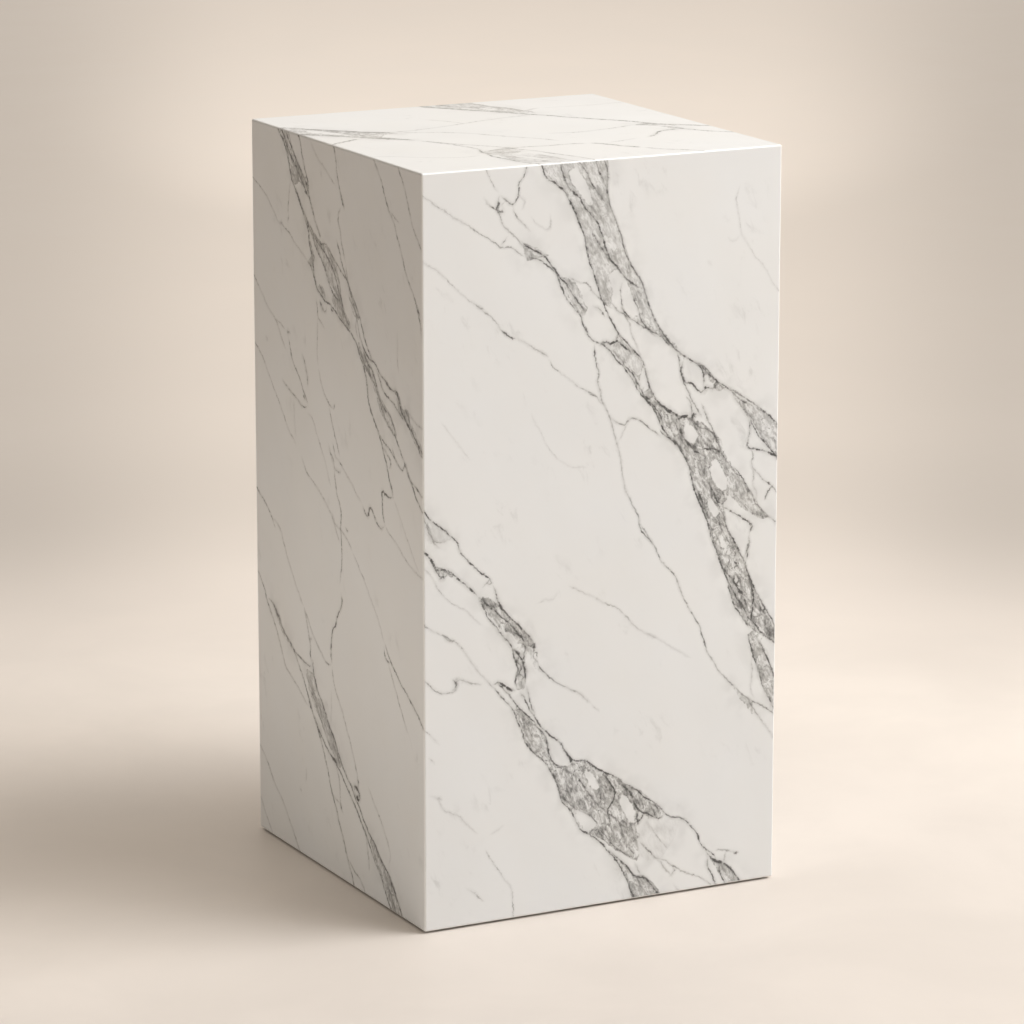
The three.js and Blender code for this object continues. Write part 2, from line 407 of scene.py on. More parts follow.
    "top": """
line 4 0.75 0,329 12,318 25,302 38,290 50,279 62,266 75,255 90,243
line 3.6 0.75 0,279 12,268 25,255 38,243 50,230 62,218 75,207 86,190
line 3.2 0.75 0,203 15,212 28,219 42,226
line 2.4 0.7 30,292 40,270 50,252 55,235
line 2.4 0.55 86,190 95,175 105,155 112,135 117,112 113,97 110,85
line 2.4 0.55 92,180 103,163 115,148 128,132 140,118 148,103 155,90 165,70 172,50 182,25 189,0
line 6 0.8 108,94 112,86 114,80
line 4 0.75 142,108 148,103 154,98
line 3 0.65 112,84 109,65 112,50 116,30 122,10 129,0
line 2 0.45 118,92 130,100 148,104
line 2.6 0.55 148,104 165,103 190,100 215,100 232,96
line 3.6 0.75 232,97 242,88 250,72 258,60 268,48
line 3 0.5 268,48 280,30 300,12 312,0
line 2.2 0.4 155,62 158,40 164,20 171,0
line 2 0.35 118,60 132,40 141,20 150,0
line 2.4 0.38 95,245 115,235 135,225 152,212 162,200 175,180 190,160 205,140 215,122
line 2.6 0.35 90,248 120,252 150,260 180,270 210,280 245,288 268,290
line 2.6 0.25 155,312 166,300 173,288 181,268
line 3.6 0.85 190,400 200,385 212,370 225,352 240,335 255,315 268,298 280,285 295,262 310,242 325,225
  338,208 348,190 360,172 375,160 390,148 400,140
line 3 0.6 244,400 251,385 258,365 268,345 275,325 280,310 277,298
line 2.6 0.5 214,400 222,384 234,368 246,340 262,316
line 3 0.5 279,312 283,325 293,330 301,333
line 5 0.6 330,182 345,180 358,171
line 3 0.32 225,172 255,165 285,170 310,175 330,182
line 3.2 0.75 350,166 358,150 365,135 375,118 388,102 400,92
line 3 0.7 365,136 350,138 335,132 322,120 312,109 302,104
line 2.2 0.25 292,104 272,96 250,90
line 2 0.24 0,115 20,108 40,92 60,80 80,72 102,75
line 2 0.15 300,330 330,328 365,326 400,330
line 2.4 0.12 322,400 332,384 345,366
band 0.42 -3,331 30,301 60,269 90,245 92,238 76,240 66,226 86,192 70,201 50,223 30,246 -3,276
band 0.36 188,403 214,366 250,321 268,300 279,312 272,344 260,366 250,403
band 0.3 108,94 148,104 156,88 142,72 116,70
band 0.26 116,66 150,64 160,40 168,-3 130,-3 118,30
band 0.32 330,184 350,188 366,166 366,136 352,140 354,160
clast 14,300 24,297 34,278 42,262 34,256 24,268 14,284
clast 222,366 232,370 250,352 258,334 248,336 234,350
clast 126,52 136,54 146,36 148,18 138,16 130,32
""",
    "right": """
line 2 0.75 0,478 14,466 30,455 44,440 58,424 74,404 90,386 104,368 116,348 132,330 146,312 158,290
  172,270 186,252 204,232 222,214 240,192 256,170 272,150 290,134 304,112 320,88 338,62 352,36 366,12
  372,0
line 2.4 0.8 0,447 12,440 26,424 40,414 54,396 66,380 80,362 96,348 110,326 122,306 138,290 152,270
  164,248 178,232 196,214 210,190 226,172 244,152 258,128 276,112 292,92 306,66 322,44 334,20 344,0
line 1.8 0.7 26,424 40,430 52,422 66,402 78,394 92,372 100,352 114,342 128,318 142,306
line 2.6 0.85 54,396 64,400 72,390 84,380 88,366 96,348
line 2.6 0.8 152,270 166,262 176,248 190,240 198,226 210,216 216,200
line 1.6 0.6 110,326 126,322 136,304 152,296 160,276 176,262
line 1.6 0.6 244,152 252,140 268,132 276,118 292,108 300,92 314,80
line 1.6 0.5 0,409 14,396 30,384 42,366 56,352 66,332 82,316 94,296 110,280 126,268 140,252
line 1.2 0.35 0,377 18,366 36,352 52,336 70,322 84,302
line 1.8 0.7 0,250 10,240 24,228 36,210 50,196 60,178 76,164 88,144 102,128 112,108 128,92 140,70 152,52
  168,36 178,14 188,0
line 2.2 0.75 0,212 12,204 22,190 36,176 50,166 60,148 72,132 88,120 98,100 110,84 126,70 136,48 150,30
  160,12 164,0
line 1.6 0.55 0,180 14,168 30,158 42,142 58,130 70,110 86,96 96,78
line 1.2 0.4 0,150 16,138 34,122 48,104 62,92 74,72 90,54 102,34 118,16 128,0
line 2 0.65 260,765 266,750 276,736 284,718 296,702 304,684 316,668 328,650 336,632 350,616 364,602
  376,584 390,570 400,556
line 2.4 0.75 308,765 314,748 322,738 330,720 344,706 350,690 362,676 374,660 384,642 400,628
line 1.6 0.55 284,718 296,722 306,712 316,696 328,690 336,672 350,664 358,646 372,636
line 1.4 0.45 140,765 150,748 164,734 176,714 190,700 202,680 218,664 232,642 248,628 262,608 280,592
  296,570 312,556 328,534 346,520 362,500 380,486 400,466
line 1.2 0.35 92,765 104,748 118,728 130,706 146,690 160,668 178,652 190,630 206,612 222,590 240,574
line 1.8 0.6 202,680 214,684 222,676 218,664
line 1.1 0.28 40,765 54,740 70,720 82,696 100,676 116,650 134,632 148,606 166,588 184,560 204,540
  220,516 240,500
line 1 0.24 0,620 20,600 38,586 58,562 80,546 98,522 120,506 140,484 162,470 180,448 204,432 226,410
line 1.4 0.45 226,410 238,404 250,388 266,376 280,358 298,346 312,326 330,312 344,292 362,280 380,260
  400,246
line 2.6 0.65 226,410 234,414 240,404
line 1.1 0.3 300,400 316,384 330,372 348,352 366,338 382,320 400,306
line 1 0.22 206,330 224,318 240,300 262,286 280,266 300,252
line 1.3 0.35 340,220 352,204 368,190 380,172 400,156
line 1.1 0.26 222,92 236,80 250,62 266,48 280,28 296,14 306,0
line 1 0.2 20,330 40,312 56,296 70,272 90,256
band 0.48 -3,478 14,466 30,455 46,440 60,420 76,396 92,378 108,374 124,360 138,340 148,316 156,294
  150,280 140,288 124,304 108,322 94,340 80,356 68,378 54,396 40,414 26,424 12,440 -3,448
band 0.5 158,292 172,270 184,246 204,228 226,220 250,204 266,178 276,150 290,134 304,112 292,92 278,116
  264,136 250,152 226,164 204,180 188,208 178,232 164,248 152,270
band 0.44 304,112 318,86 330,66 348,44 368,18 380,-3 340,-3 328,18 320,42 308,66 292,92
band 0.42 -3,250 10,240 22,224 34,206 50,192 62,184 78,168 68,146 58,152 50,168 38,178 26,194 14,208
  -3,213
band 0.44 76,164 90,148 108,136 122,114 132,92 140,70 150,48 164,30 178,12 190,-3 164,-3 158,10 148,28
  136,48 122,66 102,80 92,98 84,118 74,134
band 0.36 272,740 284,720 296,704 304,686 316,670 330,652 340,664 330,684 318,694 306,710 292,722
  280,736
band 0.28 336,632 350,616 364,602 378,586 392,572 402,560 402,626 384,642 372,636 360,646 346,644
clast 30,444 38,444 50,428 60,414 54,408 42,420 32,432
clast 90,376 98,374 108,358 104,350 94,360
clast 166,260 176,254 188,238 184,232 172,240 164,250
clast 216,206 226,204 240,184 236,176 224,186
clast 100,122 108,112 122,92 118,88 106,102
clast 318,82 326,76 338,52 334,46 322,62
""",
    "back": """
line 2.2 0.8 156,765 162,750 170,736 176,716 188,700 196,680 208,664 216,644 228,628 238,606 250,590
  262,570 272,552 288,534 300,512 312,496 328,478 340,456 356,440 370,418 384,402 400,376
line 2 0.75 186,765 192,748 200,734 210,718 216,698 228,684 236,664 248,650 258,630 268,612 282,598
  290,576 306,560 318,540 330,524 344,504 358,490 372,470 386,454 400,436
line 1.8 0.7 210,765 214,750 222,738 228,722 240,708 246,690 258,676 266,656 278,642
line 2.4 0.8 162,750 174,746 184,734 190,716 204,704 208,690 220,676 226,656 240,646 248,626
line 1.6 0.6 176,716 190,690 202,672 212,650 224,636 232,614 246,600
line 2.6 0.8 262,570 274,566 282,552 296,546 302,528 316,516 322,498
line 1.6 0.55 288,534 304,528 318,514 332,508 344,490 360,476 372,454
line 2.2 0.7 278,642 284,632 294,624 300,610 312,598
line 1.2 0.35 312,598 326,584 342,572 356,556 374,546 388,532 400,524
line 1.3 0.4 0,556 14,544 28,526 44,514 58,494 74,480 88,460 104,448 118,428 134,414 148,394 166,380
  180,360
line 1.8 0.65 0,628 12,616 26,604 36,588 52,574 64,556 78,544 90,524 106,512 116,494
line 1.4 0.45 116,494 130,480 146,468 160,448 176,434 190,414 206,402 220,380 236,366 250,346 266,330
  280,308 298,294 312,270 330,254 346,232 364,216 380,192 400,172
line 2.6 0.7 110,504 118,494 116,484 126,480
line 1.1 0.3 0,466 20,452 38,436 58,424 76,404 98,390
line 1.9 0.7 0,306 12,296 24,280 38,270 48,252 62,240 72,222 86,208 98,190 112,178 122,158 136,144
  150,124 160,108 176,92 188,70 202,54 214,32 228,16 236,0
line 2.4 0.8 0,246 14,238 26,222 40,212 52,196 62,178 78,166 88,148 102,134 112,114 128,100 138,80
  152,64 162,44 176,28 186,8 190,0
line 1.7 0.6 24,280 38,262 52,250 62,232 78,218 90,200 104,186 112,168 128,156
line 2.6 0.8 62,178 74,184 84,174 94,160 106,156 112,142 124,130 130,112
line 1.5 0.5 112,178 124,172 136,156 150,146 160,128 174,116 184,98 200,84 212,64
line 1.5 0.5 128,100 140,92 154,80 164,60 180,48 194,26 206,12 212,0
line 1.3 0.4 212,64 226,56 242,40 254,30 270,14 282,0
line 1.2 0.34 0,156 16,142 34,128 50,106 66,92 82,70 100,54 116,30 130,16 138,0
line 1.2 0.3 260,765 272,744 288,728 300,706 318,690 332,668 350,652 366,630 384,614 400,605
line 1.1 0.24 330,765 344,748 360,736 374,718 388,706 400,705
line 1.8 0.5 344,748 352,746 358,738
line 1 0.22 60,765 72,744 90,728 104,704 120,690 132,668
line 1 0.22 196,330 214,318 230,300 250,290 266,270 286,258 304,238 322,226
line 2 0.6 300,350 310,338 322,330 334,314 348,304 360,296 378,290 400,286
line 1.6 0.45 310,338 318,322 330,306 340,290 356,276 368,260
line 1.2 0.3 290,190 304,174 322,162 336,142 354,128 370,108 388,96 400,95
line 1.2 0.28 340,80 354,66 370,56 384,42 400,38
line 1 0.2 30,400 46,386 58,366 76,352 92,332 108,318
band 0.5 156,768 163,750 171,736 172,712 184,690 198,676 212,664 222,644 232,626 240,606 252,590 262,598
  268,612 258,630 252,656 242,676 234,690 240,700 232,716 222,738 214,750 210,768
band 0.48 252,590 260,566 268,546 282,526 298,508 314,496 330,478 340,456 352,470 342,486 328,500
  314,520 304,546 298,570 284,588 268,600
band 0.36 340,456 356,440 370,418 384,402 402,376 402,420 386,440 372,456 356,474
band 0.5 -3,306 14,298 30,288 44,270 52,250 62,234 74,218 88,206 98,190 90,170 74,166 60,178 50,198
  38,206 22,214 8,232 -3,247
band 0.5 98,190 110,174 120,154 136,142 154,132 170,114 180,92 188,70 178,56 160,48 146,58 132,74 122,96
  110,112 100,134 88,148 90,168
band 0.42 188,70 202,54 214,32 228,16 238,-3 188,-3 178,26 164,46
clast 176,736 186,734 198,716 204,700 196,700 184,716
clast 214,690 222,688 234,668 238,654 228,660 218,674
clast 276,560 286,558 298,540 296,532 284,542
clast 20,268 30,262 44,244 42,236 30,246 20,258
clast 70,206 80,200 90,184 84,180 74,192
clast 124,136 134,128 146,110 142,104 130,118
""",
}


# The size of the sheets that the veins are drawn on, in millimetres.
SHEET_SIDE = 400.0
SHEET_HEIGHT = 765.0

# How each face lies: its outward direction, then the directions of across and up on its drawing.
FACES = {
    "front": ((0, -1, 0), (1, 0, 0), (0, 0, 1)),
    "right": ((1, 0, 0), (0, 1, 0), (0, 0, 1)),
    "back": ((0, 1, 0), (-1, 0, 0), (0, 0, 1)),
    "left": ((-1, 0, 0), (0, -1, 0), (0, 0, 1)),
    "top": ((0, 0, 1), (1, 0, 0), (0, 1, 0)),
}

STRANDS = 9  # how many lines can run close together
REACH = 16.0  # how far from a line its distance is kept, in millimetres
FADE_OUT = (4.0, 8.0)  # where a line stops marking the stone beside it
APART = 23.0  # two lines that come nearer than this are kept on different strands
PATH_STEP = 3.0  # the longest straight stretch of a smoothed path
TAPER = 9.0  # how long a line takes to fade in or out
BAND_REACH = 40.0  # how far from a band its distance is kept
VEIN_RUN = (0.40, -0.40, -0.825)  # the way that the veins run through the stone
EDGE_TOUCH = 1.0  # a path that ends this near its sheet's edge carries on round the corner
THIN_END = 0.4  # how wide the faded end of a line is, as a share of its full width
FACING = 0.71  # how squarely a mesh face looks along a sheet's direction to take its drawing
ROUNDING_STEPS = 3  # mesh steps from a face to the middle of an eased edge


# ----------------------------------------------------------------------------------------------------
# Vein drawings turned into numbers on the mesh


def read_drawing(text):
    """The lines, bands and clasts of one face: for each, the numbers after its name and its points."""
    drawing = {"line": [], "band": [], "clast": []}
    for word in text.split():
        if word in drawing:
            numbers, points = [], []
            drawing[word].append((numbers, points))
        elif "," in word:
            points.append([float(part) for part in word.split(",")])
        else:
            numbers.append(float(word))
    return drawing


def smooth_path(points):
    """A path carried through its points as a Catmull-Rom curve, in steps of at most PATH_STEP."""
    padded = np.vstack([2 * points[0] - points[1], points, 2 * points[-1] - points[-2]])
    pieces = []
    for before, start, end, after in zip(padded, padded[1:], padded[2:], padded[3:]):
        count = max(1, math.ceil(np.linalg.norm(end - start) / PATH_STEP))
        t = (np.arange(count) / count)[:, None]
        pieces.append(
            0.5
            * (
                2 * start
                + (end - before) * t
                + (2 * before - 5 * start + 4 * end - after) * t**2
                + (3 * start - before - 3 * end + after) * t**3
            )
        )
    return np.vstack(pieces + [points[-1:]])


def nearest_on_path(points, path):
    """Each point's signed distance from the path (left is positive), and how far along that is."""
    start = path[:-1]
    run = path[1:] - start
    length = np.maximum(np.linalg.norm(run, axis=1), 1e-6)
    offset = points[:, None, :] - start[None]
    share = np.clip((offset * run).sum(2) / length**2, 0, 1)
    gap = np.linalg.norm(offset - share[..., None] * run, axis=2)
    best = gap.argmin(axis=1)
    rows = np.arange(len(points))
    side = run[best, 0] * offset[rows, best, 1] - run[best, 1] * offset[rows, best, 0]
    travelled = np.concatenate([[0], np.cumsum(length)[:-1]])
    along = travelled[best] + share[rows, best] * length[best]
    return np.where(side < 0, -1, 1) * gap[rows, best], along, length.sum()


def inside_outline(points, outline):
    """Whether each point is inside a closed outline, by counting the crossings of a ray."""
    inside = np.zeros(len(points), bool)
    for (x0, y0), (x1, y1) in zip(outline, np.roll(outline, -1, axis=0)):
        if y0 == y1:
            continue
        spans = (points[:, 1] < y0) != (points[:, 1] < y1)
        inside ^= spans & (points[:, 0] < x0 + (points[:, 1] - y0) * (x1 - x0) / (y1 - y0))
    return inside


def outline_depth(points, outline):
    """The distance inside a closed outline, negative outside it and no further than BAND_REACH."""
    outline = np.array(outline)
    depth = np.full(len(points), -BAND_REACH)
    close = ((points > outline.min(0) - BAND_REACH) & (points < outline.max(0) + BAND_REACH)).all(1)
    if close.any():
        closed = np.vstack([outline, outline[:1]])
        gap = np.abs(nearest_on_path(points[close], closed)[0])
        sign = np.where(inside_outline(points[close], outline), 1, -1)
        depth[close] = np.clip(sign * gap, -BAND_REACH, BAND_REACH)
    return depth


def on_sheet_edge(point, size):
    """Whether a path's end lies on its sheet's edge, where the vein carries on round the corner."""
    return bool((point <= EDGE_TOUCH).any() or (point >= size - EDGE_TOUCH).any())


def smoothstep(low, high, value):
    """0 up to low, 1 from high on, and an eased rise in between."""
    share = np.clip((value - low) / (high - low), 0, 1)
    return share * share * (3 - 2 * share)


def fade_along(along, total, free_start, free_end):
    """From 0 at a free end of a line to 1 further in; an end that runs on round a corner stays at 1."""
    taper = min(TAPER, total / 3)
    fade = np.ones(len(along))
    if free_start:
        fade *= smoothstep(0, taper, along)
    if free_end:
        fade *= smoothstep(0, taper, total - along)
    return fade


def carried_on(path, size):
    """A path whose ends on the sheet's edge run on past it, so that distances stay true up to there."""
    ends = []
    for end, inner in ((path[0], path[1]), (path[-1], path[-2])):
        way = (end - inner) / max(np.linalg.norm(end - inner), 1e-6)
        ends.append([end + 2 * REACH * way] if on_sheet_edge(end, size) else [])
    return np.vstack([*ends[0], path, *ends[1]])


def share_out(paths):
    """Gives each path a strand number, so that paths on one strand stay at least APART."""
    strands = [[] for _ in range(STRANDS)]
    chosen = []
    for path in paths:
        for number, taken in enumerate(strands):
            if all(separate(path, other) for other in taken):
                taken.append(path)
                chosen.append(number)
                break
        else:
            raise RuntimeError("too many lines run close together: raise STRANDS")
    return chosen


def separate(path, other):
    """Whether two paths stay at least APART from each other."""
    if (path.min(0) - APART > other.max(0)).any() or (other.min(0) - APART > path.max(0)).any():
        return True
    return np.linalg.norm(path[:, None] - other[None], axis=2).min() > APART


def strand_values(points, lines, size):
    """For each strand and point: signed distance to the nearest line, its darkness and its width."""
    values = np.zeros((STRANDS, len(points), 3))
    values[:, :, 0] = REACH
    values[:, :, 2] = 1
    paths = [smooth_path(np.array(line_points)) for _, line_points in lines]
    for ((width, darkness), _), path, number in zip(lines, paths, share_out(paths)):
        free_ends = [not on_sheet_edge(end, size) for end in (path[0], path[-1])]
        path = carried_on(path, size)
        boxed = (points > path.min(0) - REACH) & (points < path.max(0) + REACH)
        close = np.flatnonzero(boxed.all(1))
        if not len(close):
            continue
        distance, along, total = nearest_on_path(points[close], path)
        fade = fade_along(along, total, *free_ends)
        strength = darkness * fade * (1 - smoothstep(*FADE_OUT, np.abs(distance)))
        nearer = np.abs(distance) < np.abs(values[number, close, 0])
        found = np.stack([distance, strength, width * (THIN_END + (1 - THIN_END) * fade)], axis=1)
        values[number, close[nearer]] = found[nearer]
    return values


def no_band(count):
    """The band values of points that no band is near."""
    return np.tile(np.array([-BAND_REACH, -BAND_REACH, 0.0]), (count, 1))


def band_values(points, bands, clasts):
    """For each point: depth in a band and outside its clasts, depth in a clast, and darkness."""
    values = no_band(len(points))
    for (darkness,), outline in bands:
        depth = outline_depth(points, outline)
        deeper = depth > values[:, 0]
        values[deeper, 0] = depth[deeper]
        values[deeper, 2] = darkness
    for _, outline in clasts:
        values[:, 1] = np.maximum(values[:, 1], outline_depth(points, outline))
    values[:, 0] = np.minimum(values[:, 0], -values[:, 1])
    return values


def read_vectors(items, name):
    """One vector of every vertex or face, as rows of an array."""
    values = np.zeros(len(items) * 3)
    items.foreach_get(name, values)
    return values.reshape(-1, 3)


def read_counts(items, name):
    """One whole number of every corner or face, as an array."""
    values = np.zeros(len(items), int)
    items.foreach_get(name, values)
    return values


def mark_veins(mesh):
    """Writes the drawings to the mesh: one attribute for each strand and one for the bands."""
    places = read_vectors(mesh.vertices, "co")
    corners = read_counts(mesh.loops, "vertex_index")
    sizes = read_counts(mesh.polygons, "loop_total")
    corner_normals = np.repeat(read_vectors(mesh.polygons, "normal"), sizes, axis=0)

    strands = np.zeros((STRANDS, len(corners), 3))
    strands[:, :, 0] = REACH
    bands = no_band(len(corners))
    low, high = np.array(STONE_LOW), np.array(STONE_HIGH)
    for name, (outward, across, up) in FACES.items():
        size = np.array([SHEET_SIDE, SHEET_SIDE if name == "top" else SHEET_HEIGHT])
        on_face = corner_normals @ np.array(outward) > FACING
        used, back = np.unique(corners[on_face], return_inverse=True)
        sheet = np.stack([sheet_place(places[used], low, high, axis) for axis in (across, up)], axis=1)
        drawing = read_drawing(VEINS[name])
        strands[:, on_face] = strand_values(sheet * size, drawing["line"], size)[:, back]
        bands[on_face] = band_values(sheet * size, drawing["band"], drawing["clast"])[back]

    for number in range(STRANDS):
        store(mesh, f"strand_{number:02d}", strands[number])
    store(mesh, "band", bands)


def sheet_place(places, low, high, axis):
    """How far along an axis each place lies, from 0 at one face to 1 at the opposite one."""
    axis = np.array(axis)
    ends = sorted((float(low @ axis), float(high @ axis)))
    return (places @ axis - ends[0]) / (ends[1] - ends[0])


def store(mesh, name, values):
    """Writes one vector for each corner of the mesh."""
    layer = mesh.attributes.new(name, "FLOAT_VECTOR", "CORNER")
    layer.data.foreach_set("vector", values.astype(np.float32).ravel())


# ----------------------------------------------------------------------------------------------------
# The block's mesh


def lattice_lines(low, high, arris, spacing):
    """Where the mesh lines cross one axis: close together over the eased edges, even in between."""
    turns = [math.radians(45 * step / ROUNDING_STEPS) for step in range(ROUNDING_STEPS, 0, -1)]
    edge = [arris * (1 - math.tan(turn)) for turn in turns]
    count = math.ceil((high - low - 2 * arris) / spacing)
    middle = list(np.linspace(low + arris, high - arris, count + 1))
    return np.array([low + e for e in edge] + middle + [high - e for e in reversed(edge)])


def shell_mesh(lines, name):
    """An all-quad box with these mesh lines along X, Y and Z, left open inside its underside's edge."""
    counts = [len(axis) for axis in lines]
    grid = np.indices(counts)
    last = np.array(counts).reshape(3, 1, 1, 1) - 1
    on_surface = ((grid == 0) | (grid == last)).any(0)
    number = np.full(counts, -1)
    number[on_surface] = np.arange(on_surface.sum())
    places = np.stack([lines[axis][grid[axis][on_surface]] for axis in range(3)], axis=1)
    quads = []
    for axis in range(3):
        for end in (0, -1):
            sheet = np.take(number, end, axis=axis)
            cells = np.stack([sheet[:-1, :-1], sheet[1:, :-1], sheet[1:, 1:], sheet[:-1, 1:]], axis=2)
            if (axis == 1) == (end == -1):
                cells = cells[:, :, ::-1]
            keep = np.ones(cells.shape[:2], bool)
            if axis == 2 and end == 0:
                keep[ROUNDING_STEPS:-ROUNDING_STEPS, ROUNDING_STEPS:-ROUNDING_STEPS] = False
            quads.append(cells[keep])
    quads = np.concatenate(quads)
    used = np.unique(quads)
    renumber = np.full(len(places), -1)
    renumber[used] = np.arange(len(used))
    mesh = bpy.data.meshes.new(name)
    mesh.from_pydata(places[used].tolist(), [], renumber[quads].tolist())
    return mesh


def ease_edges(mesh, low, high, arris):
    """Rolls the box's edges and corners to the arris radius, and gives the true normals."""
    places = read_vectors(mesh.vertices, "co")
    core = np.clip(places, low + arris, high - arris)
    outward = places - core
    outward /= np.linalg.norm(outward, axis=1)[:, None]
    mesh.vertices.foreach_set("co", (core + arris * outward).ravel())
    return outward


def add_foot(mesh, inset, drop):
    """Closes the underside with a foot that stands in from the faces and reaches down to the floor."""
    work = bmesh.new()
    work.from_mesh(mesh)
    rim = [edge for edge in work.edges if edge.is_boundary]
    underside = bmesh.ops.holes_fill(work, edges=rim, sides=len(rim))["faces"]
    bmesh.ops.inset_region(work, faces=underside, thickness=inset, use_even_offset=True)
    foot = bmesh.ops.extrude_face_region(work, geom=underside)["geom"]
    bmesh.ops.delete(work, geom=underside, context="FACES")
    moved = [part for part in foot if isinstance(part, bmesh.types.BMVert)]
    bmesh.ops.translate(work, verts=moved, vec=(0, 0, -drop))
    bmesh.ops.recalc_face_normals(work, faces=work.faces)
    loose = [edge for edge in work.edges if not edge.is_manifold]
    work.to_mesh(mesh)
    work.free()
    if loose:
        raise RuntimeError(f"the block isn't closed: {len(loose)} loose edges")


def mark_arris(mesh, outward):
    """Notes where the edges are eased: 1 in the middle of a round, 0 on the faces."""
    amount = np.zeros(len(mesh.vertices))
    amount[: len(outward)] = np.minimum(1, (1 - np.abs(outward).max(1)) / (1 - math.sqrt(0.5)))
    layer = mesh.attributes.new("arris", "FLOAT", "POINT")
    layer.data.foreach_set("value", amount.astype(np.float32))


def set_normals(mesh, body_vertices, outward):
    """Gives the body its true round normals, so that the faces stay dead flat up to the eased edges."""
    corners = read_counts(mesh.loops, "vertex_index")
    sizes = read_counts(mesh.polygons, "loop_total")
    normals = np.repeat(read_vectors(mesh.polygons, "normal"), sizes, axis=0)
    quads = np.repeat(sizes == 4, sizes)
    body_face = np.minimum.reduceat(corners < body_vertices, np.cumsum(sizes) - sizes)
    round_corner = quads & np.repeat(body_face, sizes)
    normals[round_corner] = outward[corners[round_corner]]
    mesh.shade_smooth()
    mesh.normals_split_custom_set(normals.tolist())


# ----------------------------------------------------------------------------------------------------
# Shader helpers


NODES_IN_ROW = 24
NODE_WIDTH = 180
NODE_HEIGHT = 240


class Wiring:
    """Short calls that add nodes to a tree and join them."""

    def __init__(self, tree):
        self.tree = tree

    def node(self, kind, **settings):
        """A new node, laid out in rows so that the tree can be read."""
        made = self.tree.nodes.new(kind)
        row, column = divmod(len(self.tree.nodes), NODES_IN_ROW)
        made.location = (NODE_WIDTH * column, -NODE_HEIGHT * row)
        for name, value in settings.items():
            setattr(made, name, value)
        return made

    def join(self, source, socket):
        """Links an output to the socket, or sets the socket to a plain value."""
        if isinstance(source, bpy.types.NodeSocket):
            self.tree.links.new(source, socket)
        else:
            socket.default_value = source

    def math(self, operation, *inputs, clamp=False):
        made = self.node("ShaderNodeMath", operation=operation, use_clamp=clamp)
        for source, socket in zip(inputs, made.inputs):
            self.join(source, socket)
        return made.outputs[0]

    def vector_math(self, operation, *inputs):
        made = self.node("ShaderNodeVectorMath", operation=operation)
        for source, socket in zip(inputs, made.inputs):
            self.join(source, socket)
        return made.outputs[0]

    def dot(self, first, second):
        made = self.node("ShaderNodeVectorMath", operation="DOT_PRODUCT")
        self.join(first, made.inputs[0])
        self.join(second, made.inputs[1])
        return made.outputs["Value"]

    def scaled(self, vector, amount):
        made = self.node("ShaderNodeVectorMath", operation="SCALE")
        self.join(vector, made.inputs[0])
        self.join(amount, made.inputs["Scale"])
        return made.outputs[0]

    def ramp(self, value, low, high, to_low=0.0, to_high=1.0, smooth=True):
        """value from low to high, eased or straight, carried to to_low to to_high and held outside."""
        made = self.node("ShaderNodeMapRange", interpolation_type="SMOOTHSTEP" if smooth else "LINEAR")
        for source, name in (
            (value, "Value"),
            (low, "From Min"),
            (high, "From Max"),
            (to_low, "To Min"),
            (to_high, "To Max"),
        ):
            self.join(source, made.inputs[name])
        return made.outputs[0]

    def noise(self, vector, size, detail=2.0, roughness=0.5, distortion=0.0):
        """Noise with patches about size across, in the units of vector: its value and its colour.

        Most of its values lie between 0.3 and 0.7, so ramps on noise begin and end near those.
        """
        made = self.node("ShaderNodeTexNoise")
        self.join(vector, made.inputs["Vector"])
        self.join(1 / size, made.inputs["Scale"])
        self.join(detail, made.inputs["Detail"])
        self.join(roughness, made.inputs["Roughness"])
        self.join(distortion, made.inputs["Distortion"])
        return made.outputs["Fac"], made.outputs["Color"]

    def shake(self, vector, size, detail, roughness, amount):
        """A shift that wanders about nought, from noise whose patches are about size across."""
        _, shift = self.noise(vector, size, detail, roughness)
        return self.scaled(self.vector_math("SUBTRACT", shift, (0.5, 0.5, 0.5)), amount)

    def split(self, vector):
        made = self.node("ShaderNodeSeparateXYZ")
        self.join(vector, made.inputs[0])
        return made.outputs

    def mix_colour(self, share, first, second, blend="MIX"):
        made = self.node("ShaderNodeMix", data_type="RGBA", blend_type=blend)
        self.join(share, made.inputs[0])
        self.join(first, made.inputs[6])
        self.join(second, made.inputs[7])
        return made.outputs[2]

    def attribute(self, name, output="Vector"):
        made = self.node("ShaderNodeAttribute", attribute_type="GEOMETRY", attribute_name=name)
        return made.outputs[output]


def new_group(name, inputs, outputs):
    """A node group with float or vector inputs and float outputs, and its wiring and end nodes."""
    group = bpy.data.node_groups.new(name, "ShaderNodeTree")
    for socket, kind in inputs:
        group.interface.new_socket(socket, in_out="INPUT", socket_type=kind)
    for socket in outputs:
        group.interface.new_socket(socket, in_out="OUTPUT", socket_type="NodeSocketFloat")
    wiring = Wiring(group)
    return group, wiring, wiring.node("NodeGroupInput"), wiring.node("NodeGroupOutput")


def along_group():
    """Squeezes space along the veins, so that a pattern laid in it comes out long and thin."""
    group, w, given, result = new_group(
        "Along the veins", (("Place", "NodeSocketVector"), ("Stretch", "NodeSocketFloat")), ()
    )
    group.interface.new_socket("Stretched", in_out="OUTPUT", socket_type="NodeSocketVector")
    place = given.outputs["Place"]
    run = w.dot(place, VEIN_RUN)
    share = w.math("SUBTRACT", 1.0, w.math("DIVIDE", 1.0, given.outputs["Stretch"]))
    taken = w.scaled(VEIN_RUN, w.math("MULTIPLY", run, share))
    w.join(w.vector_math("SUBTRACT", place, taken), result.inputs["Stretched"])
    return group


